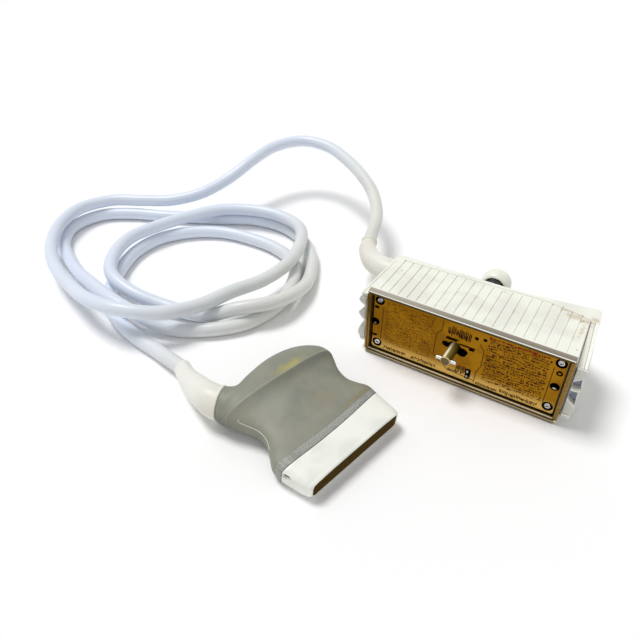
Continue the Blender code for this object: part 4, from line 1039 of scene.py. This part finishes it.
class PROBE_OT_housing(bpy.types.Operator):
    """Finish the ribbed housing, the grips and the back cover"""
    bl_idname = "probe.housing"
    bl_label = "Housing"

    def execute(self, context):
        settings = context.scene.probe_connector
        top = moulded_abs("moulded_housing_abs", settings.housing, 0.40, stains_and_painted_light=True)
        plain_abs = moulded_abs("moulded_cover_abs", settings.housing, 0.40)
        for half, surface in (("housing_upper", top), ("housing_lower", plain_abs)):
            piece = node_copy(half, half.replace("housing", "ribbed_cover"), settings.edge, 2, 30)
            place_piece(piece, surface, "housing_white", half)

        # Grips: smooth ridges, with pockets sunk between white crests at their front ends
        # The grips' ABS is darker than the housing's: painted shade on their side faces
        shaded_grip_abs = moulded_abs("grip_abs_painted_shade", "DDDED5", 0.40)
        floors = []
        for side, way, taper, line, pockets in GRIPS:
            edge = smooth_curve([Vector((x, z, 0)) for x, z in line], 5)
            outline = [(60.9, 7.8), (60.9, 40.2)] + [(point.x, point.y) for point in edge]
            piece = plates("ridged_grip_" + side, [[(way * x, z) for x, z in outline]], 0.3, 34.2)
            for point in piece.data.vertices:
                if point.co.y > 0 and abs(point.co.x) > 61.5 * MM:
                    point.co.x -= way * taper * 34.5 * MM
            hollows = [[(way * x, z) for x, z in pocket] for pocket in pockets]
            carve(piece, plates("pocket_cutter", hollows, 1.0, 3.0))
            round_edges(piece, 0.35 * MM, 3, 35)
            bake(piece, 32)
            place_piece(piece, shaded_grip_abs, "housing_white", "side_grip_" + side)
            floors += hollows
        # The crests' near-white is a painted highlight
        crest_highlight_finish = moulded_abs("worn_crest_abs", "FCFCF6", 0.34)
        for number, (way, line, thick) in enumerate(CRESTS, 1):
            points = [Vector((way * x, PLATE_FRONT / MM - 0.25, z)) * MM for x, z in line]
            place_piece(thread("worn_crest_%d" % number, points, thick, 20), crest_highlight_finish, "housing_white")
        # Painted shade at the bottom of the pockets: a bluish grey, dull sheet
        pocket_shade = plain("painted_pocket_shade_abs", "98A0B2", 0.5, 0.0, 0.3, 0.05)
        place_piece(plates("pocket_floors", floors, -2.6, 2.9), pocket_shade, "housing_white")

        # Moulding line in front of the rear edge of the ribs: thin, with dirt caught along it
        seam = thread("moulding_line", [Vector((x, y, 47.93)) * MM for x, y in (
            (-55.0, 15.9), (-24.0, 17.0), (6.0, 17.9), (29.0, 19.0), (44.0, 17.5), (52.0, 15.8),
            (57.8, 14.2))], 0.16)
        place_piece(seam, plain("soiled_moulding_line", "B9B09C", 0.5, 0.0, 0.6, 0.05),
                    "housing_white")
        piece = node_copy("back_cover", "rear_cover", 0.0004, 2, 40, 38)
        place_piece(piece, plain_abs, "housing_white", "back_cover")
        return {"FINISHED"}


class PROBE_OT_contacts(bpy.types.Operator):
    """Finish the gold shell, the contact board, its pads and its screws"""
    bl_idname = "probe.contacts"
    bl_label = "Contact face"

    def execute(self, context):
        settings = context.scene.probe_connector
        shell = node_copy("contact_shell", "gold_rim", settings.edge, 2, 30)
        # The lower lip has painted highlights and painted shade lines along its floor and its
        # front, and a painted contact shadow at its foot
        lip = [("Y", -24.0, -20.4, [
            (0.0, "F0E2B8"), (0.14, "F0E2B8"), (0.19, "3C2E12"), (0.33, "3C2E12"),
            (0.38, "FFF6D4"), (0.62, "FFF6D4"), (0.68, "2A2010"), (1.0, "1C140A")],
            [("Z", 0.9, 1.0), ("Z", 3.5, 3.3)]),
               ("Z", 0.5, 2.9, [
                   (0.0, "0A0603"), (0.20, "160F06"), (0.34, "7E6A38"), (0.72, "A8945C"),
                   (0.86, "F0E2B4"), (1.0, "F6EAC4")],
                [("Y", -23.80, -23.92), ("Z", 3.2, 3.0)])]
        place_piece(shell, plated_brass("chromated_shell_metal", settings.shell, 0.24, lip),
                    "gold_shell", "contact_shell")

        board = node_copy("contact_board", "contact_plate", 0.00008, 1, 30)
        carve(board, plates("slot_cutter", [LOCK_SLOT], 3.0, 3.0))
        bake(board, 30)
        place_piece(board, contact_plating(settings.board), "contact_board", "contact_board")

        # A black sheet in two halves paints the shade at the bottom of the slot and leaves a round
        # hole for the shaft
        bore = 3.2
        turns = [math.pi * (0.5 + i / 16) for i in range(33)]
        hole = [(LOCK_X / MM + bore * math.cos(turn), LOCK_Z / MM + bore * math.sin(turn))
                for turn in turns]
        bottoms = [LOCK_SLOT[14:] + LOCK_SLOT[:6] + hole[:17], LOCK_SLOT[5:15] + hole[16:]]
        # Black plates paint the shade inside the board's openings and holes
        openings = [oblong(-10.0, 29.9, -3.4, 31.1), oblong(-2.0, 28.8, 4.2, 29.4),
                    oblong(4.2, 27.0, 7.3, 28.8), oblong(4.8, 5.6, 7.1, 12.8),
                    disc(7.4, 37.0, 1.1), disc(12.2, 37.9, 1.1), disc(-54.7, 34.8, 1.6, 0.9),
                    disc(-55.2, 13.2, 1.5, 0.8)]
        openings += [disc(x, z, 1.9) for x, z in GUIDE_PLACES]
        tabs = [oblong(5.4, 10.2, 6.5, 11.9), oblong(5.4, 6.5, 6.5, 8.2)]
        # Painted glints low in the guide holes
        tabs += [disc(x, z - 1.2, size, size / 2)
                 for size, (x, z) in zip((0.7, 1.1), GUIDE_PLACES)]

        # The marks are matte: etched copper, dark where deep, and red lacquer
        pads, reds, faint = contact_marks()
        for name, outlines, finish_name, colour in (
                ("contact_pads", pads, "etched_copper_pads", settings.pads),
                ("shallow_pads", faint, "shallow_etched_pads", "6E410E"),
                ("marker_pads", reds, "red_lacquered_pads", "8A2410")):
            matte = plain(finish_name, colour, 0.6, 0.0, 2.0, 0.05, Specular_IOR_Level=0.08)
            place_piece(plates(name, outlines), matte, "contact_board")
        # Black sheets paint the shade in the openings; light tabs sit in the slot, and painted
        # glints in the guide holes
        black = plain("black_wells_and_painted_hole_shade", "050403", 0.8, 0.0, 1.0, 0.05,
                      Specular_IOR_Level=0.0)
        place_piece(plates("board_openings", openings, 0.09), black, "black_plastic")
        place_piece(plates("slot_bottom", bottoms, -0.5, 1.4), black, "black_plastic")
        glint = plain("light_tabs_and_painted_glints", "C4C2B8", 0.4, 0.3, 2.0, 0.04)
        place_piece(plates("bright_tabs", tabs, 0.12), glint, "bright_steel")

        # Socket screws of bright turned steel, each in a black well; the guide holes and one
        # pin have wells too
        steel = plain("bright_turned_steel", "DCDCDC", 0.20, 1.0, 4.0, 0.04)
        wells = [(x, z, 1.75, 2.65) for x, z in GUIDE_PLACES] + [(53.6, 33.2, 0.85, 1.75)]
        for number in range(1, 5):
            low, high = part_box("board_screw_%d" % number)
            centre = (low + high) / 2
            profile = [(radius * MM, low.y + depth * MM) for radius, depth in (
                (0.0, 0.4), (0.4, 0.5), (0.5, 1.2), (1.0, 1.2), (1.1, 0.1), (1.25, -0.1),
                (1.6, -0.1), (2.0, 0.3), (2.1, 0.7), (2.1, 1.4), (1.2, 1.4))]
            profile += [(0.0012, high.y), (0.0, high.y)]
            screw = spun("socket_screw_%d" % number, profile, (centre.x, 0, centre.z), 36)
            bake(screw, 30)
            place_piece(screw, steel, "bright_steel", "board_screw_%d" % number)
            wells.append((centre.x / MM, centre.z / MM, 2.2, 3.1))
        front = PLATE_FRONT / MM
        for number, (x, z, inner, outer) in enumerate(wells, 1):
            profile = [(radius * MM, (front + lift) * MM) for radius, lift in (
                (inner, 0.2), (inner, -0.05), (inner + 0.1, -0.12), (outer - 0.1, -0.12),
                (outer, -0.05), (outer, 0.02), (inner, 0.2))]
            ring = spun("black_well_%d" % number, profile, (x * MM, 0, z * MM), 32)
            bake(ring, 40)
            place_piece(ring, black, "black_plastic")
        return {"FINISHED"}


class PROBE_OT_lock(bpy.types.Operator):
    """Finish the turning lock: shaft, cross pin, collar and knob"""
    bl_idname = "probe.lock"
    bl_label = "Lock"

    def execute(self, context):
        settings = context.scene.probe_connector
        low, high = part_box("lock_shaft")
        tip, left, right = low.y / MM, low.x / MM, high.x / MM
        # Painted highlight along one side of the shaft and painted shade towards the other; near
        # the tip a painted bright rim behind a darker end face
        brass = plated_brass("turned_shaft_brass", "8E7E40", 0.30, [
            ("X", left, right, [
                (0.0, "5E5224"), (0.16, "9A8C4C"), (0.26, "FFF8DC"), (0.40, "FFF8DC"),
                (0.50, "8E7E40"), (0.78, "6A5C28"), (1.0, "3A3010")], [("Y", tip, tip + 0.1)]),
            ("Y", tip, tip + 1.2, [
                (0.0, "6A5224"), (0.10, "6A5224"), (0.20, "C8B478"), (0.5, "D8C48A"),
                (1.0, "8E7E40")], [("Y", tip + 0.9, tip + 0.5)])], 0.5)
        # The pin's ground steel mirrors its surroundings; the collar's acetal has a soft gloss
        steel = plain("polished_pin_steel", "E2E2E2", 0.14, 1.0, 3.0, 0.03)
        black = plain("moulded_black_acetal", "1A1A1A", 0.30, 0.0, 1.0, 0.05)
        for source, name, surface, edge, slot in (
                ("lock_shaft", "turned_shaft", brass, 0.00012, "shaft_brass"),
                ("cross_pin", "dowel_pin", steel, 0.0001, "bright_steel"),
                ("lock_collar", "knob_collar", black, 0.0003, "black_plastic"),
                ("retaining_ring", "snap_ring", steel, 0.0001, "bright_steel")):
            piece = node_copy(source, name, edge, 2, 35, 35)
            place_piece(piece, surface, slot, source, body="lock")

        # The knob is a smooth dome with a bore for the collar
        low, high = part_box("lock_knob")
        front, end = low.y, high.y
        radius = (high.x - low.x) / 2
        profile = [(0.0, end - 0.0047), (0.0033, end - 0.0047), (0.0033, front + 0.0032),
                   (0.0069, front + 0.0032), (0.0069, front + 0.0004), (0.0073, front)]
        outline = smooth_curve([Vector((share * radius, front + rise * MM, 0)) for share, rise in (
            (0.80, 0.0), (0.90, 0.9), (0.97, 2.8), (1.0, 5.5), (0.97, 8.0), (0.86, 10.5),
            (0.66, 12.2), (0.36, 12.8), (0.0, 13.0))], 5)
        profile += [(max(point.x, 0.0), min(point.y, end)) for point in outline]
        knob = spun("round_knob", profile, (LOCK_X, 0, LOCK_Z), 72)
        bake(knob, 40)
        surface = moulded_abs("moulded_knob_abs", settings.housing, 0.28)
        place_piece(knob, surface, "knob_white", "lock_knob", body="lock")
        return {"FINISHED"}


class PROBE_OT_inner_parts(bpy.types.Operator):
    """Give the inner pieces their finishes"""
    bl_idname = "probe.inner_parts"
    bl_label = "Inner pieces"

    def execute(self, context):
        # Dull nylon and epoxy, milled and turned metals with some gloss, chalky ceramic, glossy
        # film and half-glossy green board
        finishes = {
            "black_plastic": plain("moulded_black_nylon", "111111", 0.45, 0.0, 1.0, 0.05),
            "chassis_aluminium": plain("milled_aluminium", "B4B4B6", 0.34, 1.0, 2.0, 0.06),
            "shaft_brass": plated_brass("turned_bush_brass", "9A8248", 0.32),
            "bright_steel": plain("machined_steel", "C8C8C8", 0.28, 1.0, 3.0, 0.04),
            "wire_bundle": elastomer("silicone_wire_bundle", "A06A4C", 0.5, "8C5A40"),
            "piezo_ceramic": plain("sintered_ceramic", "B9AD85", 0.6, 0.0, 2.0, 0.08),
            "backing_epoxy": plain("cast_backing_epoxy", "3A3B40", 0.6, 0.0, 1.5, 0.08),
            "polyimide": plain("polyimide_film", "C08830", 0.3, 0.0, 0.8, 0.03),
            "circuit_laminate": plain("green_circuit_laminate", "1D6B45", 0.4, 0.0, 0.6, 0.04),
        }
        slots = {part["node"]: part["material_slot"] for part in frame["record"]["subparts"]}
        for name, piece in frame["nodes"].items():
            if piece.hide_render:
                continue
            piece.data.materials.clear()
            piece.data.materials.append(finishes[slots[name]])
        return {"FINISHED"}


class PROBE_PT_panel(bpy.types.Panel):
    """Sidebar panel with the steps of the model"""
    bl_label = "Ultrasound probe"
    bl_idname = "PROBE_PT_panel"
    bl_space_type = "VIEW_3D"
    bl_region_type = "UI"
    bl_category = "Probe"

    def draw(self, context):
        column = self.layout.column()
        for operator in OPERATORS:
            column.operator(operator.bl_idname)
        scene = context.scene
        for group in (scene.probe_cable, scene.probe_head, scene.probe_connector,
                      scene.probe_stage):
            for name in group.__annotations__:
                column.prop(group, name)


SETTINGS = (("probe_cable", CableSettings), ("probe_head", HeadSettings),
            ("probe_connector", ConnectorSettings), ("probe_stage", StageSettings))
OPERATORS = (PROBE_OT_stage, PROBE_OT_cable, PROBE_OT_reliefs, PROBE_OT_handle, PROBE_OT_nose,
             PROBE_OT_housing, PROBE_OT_contacts, PROBE_OT_lock, PROBE_OT_inner_parts)


def register():
    """Register the settings, the operators and the panel."""
    for name, group in SETTINGS:
        bpy.utils.register_class(group)
        setattr(bpy.types.Scene, name, bpy.props.PointerProperty(type=group))
    for operator in OPERATORS:
        bpy.utils.register_class(operator)
    bpy.utils.register_class(PROBE_PT_panel)


def unregister():
    """Take everything out again."""
    bpy.utils.unregister_class(PROBE_PT_panel)
    for operator in reversed(OPERATORS):
        bpy.utils.unregister_class(operator)
    for name, group in reversed(SETTINGS):
        delattr(bpy.types.Scene, name)
        bpy.utils.unregister_class(group)


def main():
    """Build every piece in order."""
    register()
    bpy.ops.probe.stage()
    bpy.ops.probe.cable()
    bpy.ops.probe.reliefs()
    bpy.ops.probe.handle()
    bpy.ops.probe.nose()
    bpy.ops.probe.housing()
    bpy.ops.probe.contacts()
    bpy.ops.probe.lock()
    bpy.ops.probe.inner_parts()
    clear()


if __name__ == "__main__":
    main()
